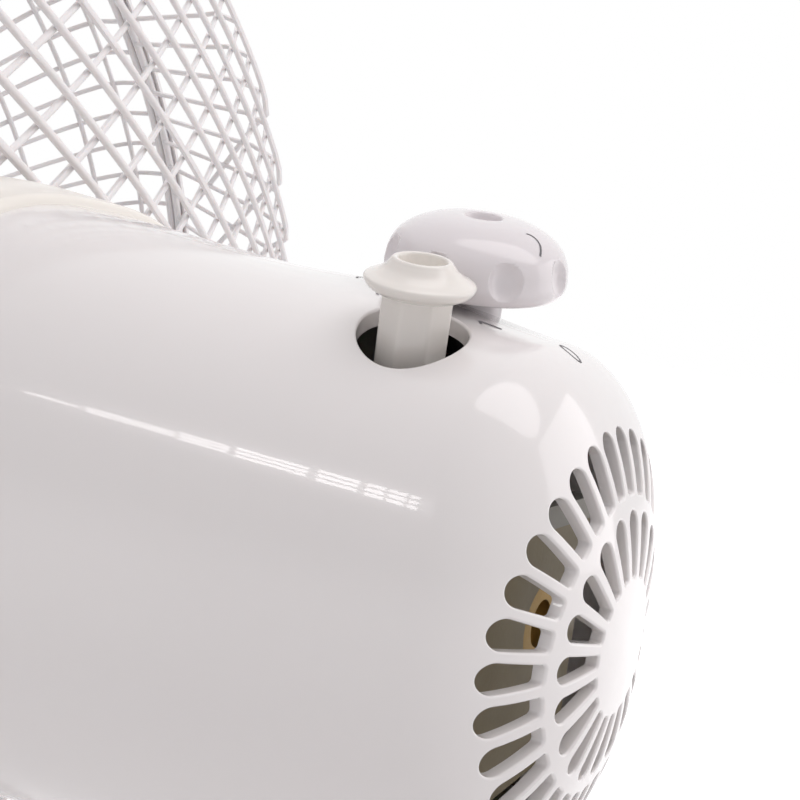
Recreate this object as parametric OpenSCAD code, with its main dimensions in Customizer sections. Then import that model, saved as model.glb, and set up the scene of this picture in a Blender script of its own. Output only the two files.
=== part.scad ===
// Oscillating desk fan with a rear housing that carries the speed knob and the oscillation pull knob.
// The origin is on the table under the swivel axis, +Z is up, and the air blows towards -Y.

/* [Overall] */
// Radial play of a shaft in its bore
running_gap = 0.05; // [0.02:0.01:0.1]
// Gap between pieces that move past each other
seat_gap = 0.3; // [0.2:0.05:0.5]

/* [Base] */
// Diameter of the base
base_d = 290; // [260:2:330]
// Height of the base dome at its middle
base_h = 48; // [42:1:60]
// Height of the upright rim of the base
base_rim_h = 13; // [10:1:18]
// Wall of the base shell
base_wall = 2.8; // [2:0.2:4]
// Thickness of the steel bottom plate
plate_t = 1.6; // [1.2:0.2:3]
// Height of the rubber feet
foot_h = 3; // [2.6:0.2:6]
// Radius of a rubber foot
foot_r = 9; // [6:1:12]
// Number of rubber feet
foot_count = 5; // [4:1:8]
// Number of screws that hold the bottom plate
plate_screw_count = 4; // [3:1:6]
// Outer diameter of the base weight
weight_d = 196; // [150:2:200]
// Height of the base weight
weight_t = 12; // [8:1:16]
// Bore of the cord inlet
inlet_bore_d = 7; // [6:0.5:8]

/* [Column] */
// Outside diameter of the column tube
column_d = 38; // [34:1:42]
// Wall of the column tube
column_wall = 1.6; // [1.2:0.2:2.4]
// Height of the top of the column tube
column_top_h = 236; // [210:1:300]
// Height of the tilt axis above the column tube
tilt_rise = 26; // [22:0.5:32]

/* [Swivel] */
// Width of the eye that tilts in the clevis
eye_w = 15.4; // [12:0.2:18]
// Radius of that eye
eye_r = 13; // [11:0.5:14]
// Radius of the tilt bolt
tilt_bolt_r = 5; // [4:0.5:6]
// Length of the bush that the swivel post turns in
bush_len = 33.2; // [28:0.1:40]
// Radius of the swivel post
post_r = 6; // [5:0.5:7]
// Distance of the link anchor from the swivel axis
anchor_x = 20; // [20:0.5:22]
// Radius of the shroud around the swivel
shroud_r = 27.2; // [26.5:0.1:29]

/* [Housing] */
// Distance from the swivel axis to the back of the housing
rear_y = 75; // [74:0.5:80]
// Width of the housing where its rear dome begins
rear_w = 79; // [79:1:90]
// Height of the housing where its rear dome begins
rear_tall = 92.6; // [92:0.2:102]
// Squareness of the housing section, where 2 is an ellipse
section_power = 2.55; // [2.3:0.05:3]
// Depth of the rounded rear dome
dome_depth = 20.7; // [18:0.1:24]
// Growth of the section for each millimetre towards the front
section_growth = 0.00285; // [0.002:0.00005:0.004]
// Distance from the swivel axis to the seam of the two covers
seam_y = 48; // [44:0.5:54]
// Wall of the covers
cover_wall = 2.3; // [1.8:0.1:2.6]
// How far the front cover stands proud of the rear cover
cover_step = 1.8; // [1:0.1:2.4]
// Radius of the round edges of the front cover
cover_edge_r = 9; // [6:0.5:12]

/* [Vents] */
// Number of slots in the outer row
outer_slots = 32; // [24:1:34]
// Number of slots in the inner row
inner_slots = 20; // [14:1:22]
// Radius at the outer ends of the outer slots
outer_tip_r = 34.4; // [33:0.1:35]
// Radius at the inner ends of the outer slots
outer_root_r = 24.3; // [23.6:0.1:26]
// Width of an outer slot at its outer end
outer_slot_w = 4.6; // [3:0.1:4.8]
// Width of an outer slot at its inner end
outer_root_w = 3; // [2:0.1:3.2]
// Radius at the outer ends of the inner slots
inner_tip_r = 21.8; // [19:0.1:22.4]
// Radius of the plain disc in the middle
disc_r = 11.4; // [10.5:0.1:13]
// Width of an inner slot at its outer end
inner_slot_w = 4.2; // [2.5:0.1:4.6]
// Width of an inner slot at the disc
inner_root_w = 1.9; // [1.4:0.1:2.2]

/* [Pull knob] */
// Lean of both knobs away from the swivel axis
knob_lean = 15.6; // [0:0.2:16]
// Direction of that lean, from +X towards +Y
knob_lean_turn = 28.6; // [20:0.2:40]
// Sideways place of the pull knob and the clutch shaft
pull_x = 19.3; // [19.3:0.1:20]
// Distance of the pull knob from the back of the housing
pull_back = 35.7; // [34:0.1:37]
// Diameter of the hole in the housing around the pull knob
pull_hole_d = 17.5; // [15:0.5:19]
// Diameter of the head of the pull knob
pull_head_d = 17.5; // [15:0.5:18]
// Width of the eight-sided stem across its corners
pull_stem_d = 12; // [9:0.5:13]
// Height of the widest part of the head above the motor axis when it is pulled up
pull_head_h = 53.7; // [52:0.1:56]
// Travel of the pull knob
pull_travel = 6; // [4:0.5:6]
// Radius of the rod under the pull knob
pull_rod_r = 2; // [1.6:0.1:2.2]

/* [Speed knob] */
// Sideways place of the speed knob
speed_x = -6.9; // [-8:0.1:-6.6]
// Distance of the speed knob from the back of the housing
speed_back = 39.2; // [38:0.1:41]
// Diameter of the speed knob
speed_d = 32.2; // [28:0.1:33]
// Height of the underside of the speed knob above the motor axis
speed_low_h = 54.2; // [53.4:0.1:55]
// Height of the speed knob
speed_h = 12.4; // [11:0.1:14]
// Number of finger dimples round the speed knob
speed_dimples = 8; // [6:1:10]

/* [Motor] */
// Outside radius of the stator core
core_r = 42; // [38:0.5:43]
// Thickness of the stator core
core_t = 26; // [20:1:26]
// Radius of the rotor
rotor_r = 23.7; // [20:0.1:24]
// Radius of the motor shaft
shaft_r = 4; // [3:0.5:4]
// Outside radius of the shaft bearings
bearing_r = 8; // [7:0.5:9]

/* [Oscillation] */
// Number of teeth on the worm wheel and on the crank gear
wheel_teeth = 28; // [20:1:32]
// Number of teeth on the clutch pinion
pinion_teeth = 10; // [8:1:12]
// Radius of the crank pin from the crank axis, set by the anchor and the swing
crank_throw = 16.3; // [14:0.1:18]

/* [Blade] */
// Radius swept by the blades
blade_r = 195; // [150:1:198]
// Number of blades
blade_count = 3; // [3:1:5]
// Turn of the first blade from the top
blade_start = 0; // [-60:1:60]
// Thickness of a blade
blade_t = 2.4; // [2:0.2:3.6]
// Radius of the blade hub
hub_r = 36; // [30:1:40]
// Depth of the blades along the air stream
blade_depth = 44; // [30:1:48]

/* [Guard] */
// Power of the dish of the rear half, where 1 is a cone
dish_power = 1.5; // [1.2:0.05:2]
// Size of the round corner between the dish and the rim
shoulder_corner = 12; // [8:0.5:16]
// Radius of the guard at its rim
guard_r = 215; // [205:1:230]
// Distance from the swivel axis to the rim where both halves meet
rim_y = 204; // [198:1:212]
// Distance from the swivel axis to the shoulder of the rear half
shoulder_y = 143; // [135:1:150]
// Depth of the domed front face of the guard
front_dome = 40; // [30:1:50]
// Radius of the hub of each guard half
guard_hub_r = 46; // [44:1:52]
// Number of ribs in each guard half
rib_count = 32; // [24:2:40]
// Thickness of a guard rib
rib_t = 2.2; // [1.8:0.1:3]
// Number of rings between hub and rim
ring_count = 5; // [3:1:7]

/* [Hidden] */

// Vertical stack of the base
plate_z = foot_h;
tilt_h = column_top_h + tilt_rise;
plate_top = plate_z + plate_t;
base_r = base_d / 2;
boss_r = column_d / 2 + 7;
boss_top = base_h + 10;
column_r = column_d / 2;
column_in_r = column_r - column_wall;
foot_edge = 11.3;
foot_ring = base_r - foot_r - foot_edge;
plate_screw_r = 1.9;
plate_screw_boss_r = 5;
plate_screw_len = 16;
weight_edge = 7.2;
weight_clear = 26;
plate_screw_ring = weight_d / 2 + weight_edge + plate_screw_boss_r;
column_bolt_r = 4;
column_bolt_head_r = 7;
bolt_cap_r = column_bolt_head_r + 3;
bolt_cap_t = 0.7;
column_bolt_head_t = plate_z - bolt_cap_t - seat_gap;
column_plug_h = 20;
column_ring_h = 4;
inlet_z = plate_top + 6.5;
inlet_r = inlet_bore_d / 2 + 2;
inlet_flange_r = inlet_r + 2;

// Clevis and tilt joint
ear_gap = eye_w / 2 + seat_gap;
ear_t = 8;
ear_r = eye_r + 1;
ear_out = ear_gap + ear_t;
clevis_flange_t = 4;
clevis_plug_h = 24;
clevis_floor = tilt_h - eye_r - 3;
clevis_screw_r = 2;
tilt_bolt_head_t = 6;
tilt_bolt_head_r = 8.5;
tilt_knob_in = ear_out + seat_gap;
tilt_knob_t = 18;
tilt_knob_r = 15.5;
tilt_knob_wall = 4;

// Swivel stack above the tilt axis
flange_low = tilt_h + 19;
flange_t = 4;
flange_top = flange_low + flange_t;
flange_r = 16;
neck_d = 22;
washer_t = 1.5;
bush_low = flange_top + washer_t + seat_gap;
bush_r = post_r + 2;
boss_tube_r = bush_r + 2;
bush_top = bush_low + bush_len;
axis_h = bush_top + 30;
clip_t = 1.5;
clip_low = bush_top + seat_gap;
clip_room_r = bush_r + 0.3;
clip_room_top = axis_h - 22;
post_top = axis_h - 24;
pillar_r = 4.5;
anchor_pin_r = 3;
link_low = axis_h - 38;
link_t = 3;
pillar_top = link_low - seat_gap;
shroud_wall = 2;
shroud_low = flange_low - 2.3;
shroud_floor_t = 2;
shroud_top = axis_h - 44;

// Housing section
half_w = rear_w / 2;
half_tall = rear_tall / 2;
dome_y = rear_y - dome_depth;
cover_front = 77;
section_steps = 48;
dome_steps = 8;
front_wall_t = 2;
opening_r = shroud_r + 0.8;
cover_screw_x = 31;
rear_screw_x = 10;
rear_screw_y = -31;
rear_screw_r = 1.8;
rear_screw_top = axis_h - 37;
rear_boss_r = 4.2;
rear_recess_r = 3.4;
rear_recess_top = axis_h - half_tall - 4.7;
rear_boss_low = rear_recess_top - 5.2;

// Shaft line
nose_r = 20;
nose_step_r = 24;
nose_step_y = 79.5;
nose_end_y = 89;
bracket_r = core_r + 1;
bracket_wall = 7;
pad_low = axis_h - bracket_r - 0.2;
pad_w = 9;
bracket_front_y = 72;
core_front_y = 60;
core_rear_y = core_front_y - core_t;
rear_plate_y = 21.5;
rear_plate_t = 2.5;
front_plate_t = 2.5;
air_gap = 0.3;
core_in_r = rotor_r + air_gap;
bolt_ring = core_r - 3.5;
bolt_hole_l = 60;
bolt_r = 2;
fit_gap = 0.02;
block_w = 28;
block_low = axis_h - 27;
block_top = axis_h - 16;
block_rear = 16;

// Gearbox
pull_y = rear_y - pull_back;
case_l = -17.5;
case_r = 35.6;
case_front = block_rear;
case_rear = 60;
case_low = axis_h - 27;
case_top = axis_h + 16;
case_wall = 2;
case_cut_y = 46;
case_cut_x = 27;
case_cut_low_x = 28;
case_cut_z = 10;
cap_w = 15;
cap_l = 32;
cap_h = 25;
cap_low = axis_h - 15;
lid_t = 4;
case_screw_xs = [-4, 9];
case_screw_z = axis_h - 21.5;
case_screw_r = 1.5;
lid_top = case_top + lid_t;
wheel_gap = 0.2;
worm_r = 5.2;
wheel_r = pull_x - worm_r - wheel_gap;
wheel_t = 10;
pair_r = pull_x - wheel_gap;
pinion_r = pair_r * pinion_teeth / (pinion_teeth + wheel_teeth) + 0.3;
crank_gear_r = pair_r - pinion_r;
gear_low = axis_h - 17;
gear_t = 6;
clutch_r = 4;
clutch_top = case_top - 2;
lid_boss_low = case_top - 9;
crank_shaft_r = 4;
crank_disc_low = axis_h - 34;
crank_disc_t = 4;
crank_disc_r = crank_throw + 3.7;
crank_pin_r = 3;
crank_pin_low = link_low - 0.5;
open_pivot_play = 1.1;
link_eye_r = 7.5;
link_side = 4.5;
tail_end = 57;
tail_bush_r = 7;

// Knobs
pull_rod_low = axis_h + 2;
pull_rod_up = axis_h + 44;
pull_stem_low = axis_h + 33.5;
speed_y = rear_y - speed_back;
pull_seat = axis_h + pull_head_h - 6.7;
pull_stem_turn = 5.8;
dimple_r = 5.2;
dimple_deep = 1.35;
dimple_up = 6;
spindle_r = 3;
bushing_r = 4.5;
switch_r = 11.5;
switch_low = axis_h + 25;
switch_shoulder_top = axis_h + 42.9;
switch_t = 13;
nut_t = 4.1;
nut_r = bushing_r + 1.2;
speed_low = axis_h + speed_low_h;
speed_seat = speed_low - 5.8;
nut_top = speed_low - 0.4;
spindle_top = speed_low + speed_h - 4;
spindle_low = switch_low + 6;

// Blade and guard
shaft_front = 196;
blade_back_y = 152;
hub_back_y = 120;
hub_front_y = 178;
nut_front_y = 204;
blade_nut_r = 16;
drive_pin_y = 124;
drive_pin_r = 1.5;
drive_pin_len = 16;
hub_plate_t = 1.5;
guard_back_y = nose_step_y + hub_plate_t;
guard_nut_t = 6.5;
guard_nut_r = 34;
ring_wire_r = 1.6;
rim_wire_r = 1.6;
rim_half_gap = rim_wire_r + 0.3;
front_edge_y = rim_y + 12;
band_t = 1;
band_w = 2 * (rim_half_gap + rim_wire_r + 0.2);
band_in_r = guard_r + rim_wire_r + 0.2;
badge_r = 42;
badge_t = 5;
front_face_y = front_edge_y + front_dome;

// Colours
white_gloss = [0.94, 0.93, 0.92];
warm_white = [0.95, 0.92, 0.88];
knob_white = [0.93, 0.9, 0.89];
steel = [0.72, 0.73, 0.75];
zinc = [0.62, 0.63, 0.64];
dark_rubber = [0.13, 0.13, 0.14];
copper = [0.62, 0.33, 0.16];
brass = [0.75, 0.6, 0.3];
nylon = [0.88, 0.86, 0.78];
black = [0.08, 0.08, 0.09];
iron = [0.25, 0.25, 0.27];

// Shared shapes

// Cylinder along +Y that starts at y
module along_y(r, h, y = 0) {
    translate([0, y, 0]) rotate([-90, 0, 0]) cylinder(r = r, h = h, $fn = 64);
}

// Cylinder along +X that starts at x
module along_x(r, h, x = 0, sides = 64) {
    translate([x, 0, 0]) rotate([0, 90, 0]) cylinder(r = r, h = h, $fn = sides);
}

// Upright cylinder between two heights
module upright(r, low, top) {
    translate([0, 0, low]) cylinder(r = r, h = top - low, $fn = 64);
}

// Upright ring between two heights
module upright_ring(r_out, r_in, low, top) {
    difference() {
        upright(r_out, low, top);
        upright(r_in, low - 1, top + 1);
    }
}

// Turned body about the motor axis from [radius, forward distance] points
module turned(points) {
    translate([0, 0, axis_h]) rotate([90, 0, 0]) rotate_extrude($fn = 96) polygon(points);
}

// Ring about the motor axis between two forward distances
module turned_ring(r_out, r_in, back, front) {
    turned([[r_in, back], [r_out, back], [r_out, front], [r_in, front]]);
}

// Solid disc about the motor axis between two forward distances
module turned_disc(r, back, front) {
    turned([[0, back], [r, back], [r, front], [0, front]]);
}

// Copies placed on a circle about +Z
module around_z(count, radius, start = 0) {
    for (i = [0 : count - 1])
        rotate([0, 0, start + i * 360 / count]) translate([radius, 0, 0]) children();
}

// Copies placed around the motor axis
module around_axis(count, start = 0) {
    for (i = [0 : count - 1])
        translate([0, 0, axis_h]) rotate([0, start + i * 360 / count, 0]) children();
}

// Flat gear with pointed, cut-off teeth
module gear(r, teeth, depth, h) {
    step = 360 / teeth;
    points = [for (i = [0 : teeth - 1]) each [
        [(r - depth) * cos(i * step), (r - depth) * sin(i * step)],
        [(r - depth) * cos((i + 0.25) * step), (r - depth) * sin((i + 0.25) * step)],
        [r * cos((i + 0.45) * step), r * sin((i + 0.45) * step)],
        [r * cos((i + 0.8) * step), r * sin((i + 0.8) * step)]]];
    linear_extrude(h) polygon(points);
}

// Closed skin over thin closed sections that lie one behind the other, each with a face and a back
module loft(sections) {
    n = len(sections[0]);
    last = len(sections) - 1;
    sides = [for (j = [0 : last - 1], k = [0 : n - 1])
        let (a = j * n + k, b = j * n + (k + 1) % n)
        each [[a, a + n, b + n], [a, b + n, b]]];
    near_cap = [for (k = [0 : n / 2 - 2]) each [[k, k + 1, n - 2 - k], [k, n - 2 - k, n - 1 - k]]];
    far_cap = [for (t = near_cap) [last * n + t[2], last * n + t[1], last * n + t[0]]];
    polyhedron([for (section = sections) each section], concat(sides, near_cap, far_cap));
}

// Skin over rings that run from the middle of the inner face round to the middle of the outer face
module loft_cup(rings) {
    n = len(rings[0]);
    last = len(rings) - 1;
    sides = [for (j = [0 : last - 1], k = [0 : n - 1])
        let (a = j * n + k, b = j * n + (k + 1) % n)
        each [[a, b + n, a + n], [a, b, b + n]]];
    inner_cap = [for (k = [n - 1 : -1 : 0]) k];
    outer_cap = [for (k = [0 : n - 1]) last * n + k];
    polyhedron([for (ring = rings) each ring], concat(sides, [inner_cap, outer_cap]));
}

// Housing section

// Size of the section at a place along the axis, as a factor of the rear section
function section_scale(y, depth) = y <= dome_y
    ? 1 + section_growth * (dome_y - y)
    : sqrt(max(0, 1 - pow((y - dome_y) / depth, 2)));

// Distance from the axis to the outline of a rounded-square section
function section_radius(w, t, angle) =
    1 / pow(pow(abs(sin(angle)) / w, section_power) + pow(abs(cos(angle)) / t, section_power),
            1 / section_power);

// One ring of points of the housing, moved in by an inset
function housing_ring(y, inset, grow = 0) =
    let (k = section_scale(y, dome_depth - inset))
    let (flat = y <= dome_y ? 0 : inset * k)
    let (w = half_w * k - (y <= dome_y ? inset : flat) + grow)
    let (t = half_tall * k - (y <= dome_y ? inset : flat) + grow)
    [for (i = [0 : section_steps - 1])
        let (angle = i * 360 / section_steps, r = section_radius(w, t, angle))
        [r * sin(angle), y, axis_h + r * cos(angle)]];

// Rings from the seam to the back, at one inset
function housing_rings(inset, front, steps = 3) = concat(
    [for (i = [0 : steps]) housing_ring(-front + (dome_y + front) * i / steps, inset)],
    [for (i = [1 : dome_steps])
        housing_ring(dome_y + (dome_depth - inset) * sin(i * 80 / dome_steps), inset)]);

// Base

// Height of the dome's outer face at a radius
function dome_z(r) =
    let (u = max(0, (r - boss_r) / (base_r - boss_r)))
    plate_z + base_rim_h + (base_h - plate_z - base_rim_h) * (1 - u * u);

module base_shell() {
    steps = 14;
    outer = [for (i = [0 : steps])
        let (r = base_r - (base_r - boss_r) * i / steps) [r, dome_z(r)]];
    inner = [for (i = [steps : -1 : 0])
        let (r = base_r - base_wall - (base_r - base_wall - boss_r) * i / steps)
        [r, dome_z(r) - base_wall]];
    color(white_gloss) difference() {
        union() {
            rotate_extrude($fn = 96) polygon(concat(
                [[base_r, plate_z]], outer, [[boss_r, boss_top], [column_r + seat_gap, boss_top],
                [column_r + seat_gap, base_h - 20], [boss_r, base_h - 20]],
                inner, [[base_r - base_wall, plate_z]]));
            around_z(plate_screw_count, plate_screw_ring, 45)
                upright(plate_screw_boss_r, plate_top, dome_z(plate_screw_ring) - base_wall / 2);
        }
        around_z(plate_screw_count, plate_screw_ring, 45)
            upright(plate_screw_r + running_gap, plate_z, plate_z + plate_screw_len + 1);
        translate([0, 0, inlet_z]) along_y(inlet_r + 0.1, base_wall * 4, base_r - base_wall * 3);
    }
}

module base_plate() {
    color(steel) difference() {
        upright(base_r - base_wall - seat_gap, plate_z, plate_top);
        upright(column_bolt_r + seat_gap, plate_z - 1, plate_top + 1);
        around_z(plate_screw_count, plate_screw_ring, 45)
            upright(plate_screw_r + seat_gap, plate_z - 1, plate_top + 1);
    }
}

module base_weight() {
    hole_r = column_d / 2 + weight_clear;
    color(iron) upright_ring(weight_d / 2, hole_r, plate_top, plate_top + weight_t);
}

// Feet near the rim, and a cap over the head of the column bolt
module rubber_feet() {
    color(dark_rubber) {
        around_z(foot_count, foot_ring, 90) upright(foot_r, 0, foot_h);
        difference() {
            upright(bolt_cap_r, 0, plate_z);
            upright(column_bolt_head_r + seat_gap, bolt_cap_t, plate_z + 1);
        }
    }
}

module base_screws() {
    head_t = 1.8;
    color(steel) around_z(plate_screw_count, plate_screw_ring, 45) {
        upright(plate_screw_r * 2, plate_z - head_t, plate_z);
        upright(plate_screw_r, plate_z - head_t, plate_z + plate_screw_len);
    }
}

module cord_inlet() {
    flange_t = 1.5;
    color(black) translate([0, 0, inlet_z]) difference() {
        union() {
            along_y(inlet_r, base_wall + 4 + flange_t, base_r - base_wall - 3);
            along_y(inlet_flange_r, flange_t, base_r + 0.2);
        }
        along_y(inlet_bore_d / 2, base_wall * 6, base_r - base_wall * 4);
    }
}

// Column

module column_tube() {
    color(white_gloss) difference() {
        upright_ring(column_r, column_in_r, plate_top, column_top_h);
        translate([0, 0, column_top_h - clevis_plug_h / 2])
            along_y(clevis_screw_r + seat_gap, column_d + 2, -column_r - 1);
    }
}

module column_ring() {
    color(warm_white) translate([0, 0, boss_top]) rotate_extrude($fn = 96)
        polygon([[column_r + seat_gap, 0], [boss_r - 1, 0], [boss_r - 2, column_ring_h * 0.6],
            [column_r + 2, column_ring_h], [column_r + seat_gap, column_ring_h]]);
}

module column_plug() {
    color(zinc) upright_ring(column_in_r - fit_gap, column_bolt_r + running_gap, plate_top,
        plate_top + column_plug_h);
}

module column_bolt() {
    low = plate_z - column_bolt_head_t;
    color(steel) {
        upright(column_bolt_head_r, low, plate_z);
        upright(column_bolt_r, low, plate_top + column_plug_h - 2);
    }
}

module tilt_clevis() {
    color(zinc) difference() {
        union() {
            upright(column_in_r - fit_gap, column_top_h - clevis_plug_h, column_top_h);
            upright(column_r, column_top_h, column_top_h + clevis_flange_t);
            translate([-ear_out, -ear_r, column_top_h])
                cube([ear_out * 2, ear_r * 2, clevis_floor - column_top_h]);
            for (side = [-1, 1]) {
                x = side < 0 ? -ear_out : ear_gap;
                translate([0, 0, tilt_h]) along_x(ear_r, ear_t, x);
                translate([x, -ear_r, column_top_h])
                    cube([ear_t, ear_r * 2, tilt_h - column_top_h]);
            }
        }
        translate([0, 0, tilt_h]) along_x(tilt_bolt_r + running_gap, ear_out * 2 + 2, -ear_out - 1);
        translate([0, 0, column_top_h - clevis_plug_h / 2])
            along_y(clevis_screw_r + running_gap, column_d + 2, -column_r - 1);
    }
}

module clevis_screws() {
    head_t = 2.4;
    color(steel) translate([0, 0, column_top_h - clevis_plug_h / 2])
        for (turn = [0, 180]) rotate([0, 0, turn]) {
            along_y(clevis_screw_r * 1.8, head_t, column_r + 0.1);
            along_y(clevis_screw_r, 12 + head_t, column_r - 12);
        }
}

module tilt_bolt() {
    thread_end = tilt_knob_in + tilt_knob_t - tilt_knob_wall;
    color(steel) translate([0, 0, tilt_h]) {
        along_x(tilt_bolt_head_r, tilt_bolt_head_t, -ear_out - tilt_bolt_head_t, 6);
        along_x(tilt_bolt_r, ear_out + tilt_bolt_head_t + thread_end, -ear_out - tilt_bolt_head_t);
    }
}

module tilt_knob() {
    lobes = 6;
    lobe_r = 3.5;
    color(knob_white) translate([0, 0, tilt_h]) difference() {
        union() {
            along_x(tilt_knob_r - lobe_r * 0.7, tilt_knob_t, tilt_knob_in);
            for (i = [0 : lobes - 1]) rotate([i * 360 / lobes, 0, 0])
                translate([0, 0, tilt_knob_r - lobe_r])
                    along_x(lobe_r, tilt_knob_t - 5, tilt_knob_in + 4);
        }
        along_x(tilt_bolt_r + running_gap, tilt_knob_t - tilt_knob_wall + seat_gap + 1,
            tilt_knob_in - 1);
    }
}

// Swivel

module swivel_post() {
    color(zinc) difference() {
        union() {
            translate([0, 0, tilt_h]) along_x(eye_r, eye_w, -eye_w / 2);
            translate([-eye_w / 2, -neck_d / 2, tilt_h])
                cube([eye_w, neck_d, flange_low - tilt_h + 1]);
            upright(flange_r, flange_low, flange_top);
            translate([-anchor_x, 0, 0]) upright(pillar_r, flange_low, flange_top);
            translate([-anchor_x, -pillar_r, flange_low]) cube([anchor_x, pillar_r * 2, flange_t]);
            translate([-anchor_x, 0, 0]) upright(pillar_r, flange_top, pillar_top);
            translate([-anchor_x, 0, 0]) upright(anchor_pin_r, pillar_top, link_low + link_t + 2);
            upright(post_r, flange_top, post_top);
        }
        translate([0, 0, tilt_h]) along_x(tilt_bolt_r + running_gap, eye_w + 2, -eye_w / 2 - 1);
    }
}

module swivel_shroud() {
    hole_w = eye_w + 2 * seat_gap;
    hole_d = neck_d + 2 * seat_gap;
    color(white_gloss) difference() {
        union() {
            upright_ring(shroud_r, shroud_r - shroud_wall, shroud_low, shroud_top);
            upright(shroud_r - shroud_wall / 2, shroud_low, shroud_low + shroud_floor_t);
        }
        translate([-hole_w / 2, -hole_d / 2, shroud_low - 1])
            cube([hole_w, hole_d, shroud_floor_t + 2]);
    }
}

module swivel_washer() {
    color(steel) upright_ring(boss_tube_r, post_r + running_gap, flange_top, flange_top + washer_t);
}

module swivel_clip() {
    color(steel) upright_ring(bush_r - 0.7, post_r + fit_gap, clip_low, clip_low + clip_t);
}

module anchor_clip() {
    low = link_low + link_t + seat_gap;
    color(steel) translate([-anchor_x, 0, 0])
        upright_ring(anchor_pin_r + 2, anchor_pin_r + fit_gap, low, low + 1);
}

// Motor

// Through holes for the long motor bolts
module bolt_holes(r) {
    around_axis(4, 45) translate([0, 0, bolt_ring]) along_y(r, bolt_hole_l, -bracket_front_y - 4);
}

module motor_front_bracket() {
    color(zinc) difference() {
        turned([
            [0, bracket_front_y - front_plate_t],
            [bracket_r - bracket_wall, bracket_front_y - front_plate_t],
            [bracket_r - bracket_wall, core_front_y], [bracket_r, core_front_y],
            [bracket_r, bracket_front_y], [nose_step_r, bracket_front_y],
            [nose_step_r, nose_step_y], [nose_r, nose_step_y],
            [nose_r, nose_end_y], [0, nose_end_y]]);
        turned_disc(bearing_r + fit_gap, bracket_front_y - front_plate_t - 1, nose_end_y + 1);
        bolt_holes(bolt_r + 0.1);
        for (side = [-1, 1]) translate([side * cover_screw_x, 0, axis_h])
            along_y(1.6, 6, -bracket_front_y - 1);
    }
}

module motor_rear_bracket() {
    boss_rear = 12;
    color(zinc) difference() {
        union() {
            turned([
                [0, rear_plate_y], [bracket_r, rear_plate_y], [bracket_r, core_rear_y],
                [bracket_r - bracket_wall, core_rear_y],
                [bracket_r - bracket_wall, rear_plate_y + rear_plate_t],
                [0, rear_plate_y + rear_plate_t]]);
            turned_disc(bearing_r + 4, boss_rear, core_rear_y - 4);
            translate([-block_w / 2, -rear_plate_y - 1, block_low])
                cube([block_w, block_rear + rear_plate_y + 1, block_top - block_low]);
            upright(boss_tube_r, bush_low, block_low + 1);
            for (side = [-1, 1]) translate([side * rear_screw_x - pad_w / 2, -core_rear_y, pad_low])
                cube([pad_w, core_rear_y - rear_plate_y, pad_w / 2]);
        }
        turned_disc(bearing_r + fit_gap, boss_rear - 1, core_rear_y + 4);
        upright(bush_r, bush_low - 1, bush_top);
        upright(clip_room_r, bush_top, clip_room_top);
        bolt_holes(bolt_r + 0.1);
        case_screw_places() along_y(case_screw_r + running_gap, 10, block_rear - 9);
        rear_screw_places() upright(rear_screw_r + running_gap, pad_low - 1, rear_screw_top + 0.5);
    }
}

// Copies at the two screws that hold the rear cover
module rear_screw_places() {
    for (side = [-1, 1]) translate([side * rear_screw_x, rear_screw_y, 0]) children();
}

module stator_core() {
    color(iron) difference() {
        turned_ring(core_r, core_in_r, core_rear_y, core_front_y);
        bolt_holes(bolt_r + 0.1);
    }
}

module stator_windings() {
    in_r = core_in_r + 1.5;
    out_r = bracket_r - bracket_wall - 1.5;
    bundle = 6.5;
    color(copper) {
        turned([[in_r, core_front_y], [out_r, core_front_y], [out_r - 1, core_front_y + bundle - 1],
            [out_r - 3, core_front_y + bundle], [in_r + 3, core_front_y + bundle],
            [in_r + 1, core_front_y + bundle - 1]]);
        turned([[in_r, core_rear_y], [in_r + 1, core_rear_y - bundle + 1],
            [in_r + 3, core_rear_y - bundle], [out_r - 3, core_rear_y - bundle],
            [out_r - 1, core_rear_y - bundle + 1], [out_r, core_rear_y]]);
    }
}

module front_bearing() {
    color(brass) turned_ring(bearing_r, shaft_r + running_gap, bracket_front_y - front_plate_t,
        nose_step_y + 4);
}

module rear_bearing() {
    color(brass) turned_ring(bearing_r, shaft_r + running_gap, 13, core_rear_y - 5);
}

module motor_bolts() {
    head_t = 2;
    end_y = rear_plate_y + 0.5;
    color(steel) around_axis(4, 45) translate([0, 0, bolt_ring]) {
        along_y(bolt_r * 1.7, head_t, -bracket_front_y - head_t);
        along_y(bolt_r, bracket_front_y + head_t - end_y, -bracket_front_y - head_t);
    }
}

module pivot_bush() {
    color(brass) upright_ring(bush_r - fit_gap, post_r + running_gap, bush_low, bush_top);
}

// Gearbox

// Copies at the two screws that hold the gearbox to the motor
module case_screw_places() {
    for (x = case_screw_xs) translate([x, 0, case_screw_z]) children();
}

// Block that follows the inside of the housing, made smaller by a wall on all sides
module case_block(wall, top) {
    l = case_l + wall;
    r = case_r - wall;
    rear = case_rear - wall;
    front = case_front + wall;
    low = case_low + wall;
    intersection() {
        translate([0, 0, low]) linear_extrude(top - low)
            polygon([[l, front], [r, front], [r, case_cut_y], [case_cut_x - wall, rear], [l, rear]]);
        translate([0, rear, 0]) rotate([90, 0, 0]) linear_extrude(rear - front)
            polygon([[l, low], [case_cut_low_x - wall / 2, low], [r, low + case_cut_z],
                [r, top], [l, top]]);
    }
}

module gearbox_case() {
    color(zinc) difference() {
        case_block(0, case_top);
        case_block(case_wall, case_top + 1);
        translate([0, 0, axis_h]) {
            along_y(shaft_r + seat_gap, case_wall + 2, case_front - 1);
            along_y(tail_bush_r, case_wall + 2, case_rear - case_wall - 1);
        }
        translate([pull_x, pull_y, 0])
            upright(clutch_r + running_gap, case_low - 1, case_low + case_wall + 1);
        translate([0, pull_y, 0])
            upright(crank_shaft_r + running_gap, case_low - 1, case_low + case_wall + 1);
        case_screw_places() along_y(case_screw_r + 0.3, case_wall + 2, case_front - 1);
    }
}

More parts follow.
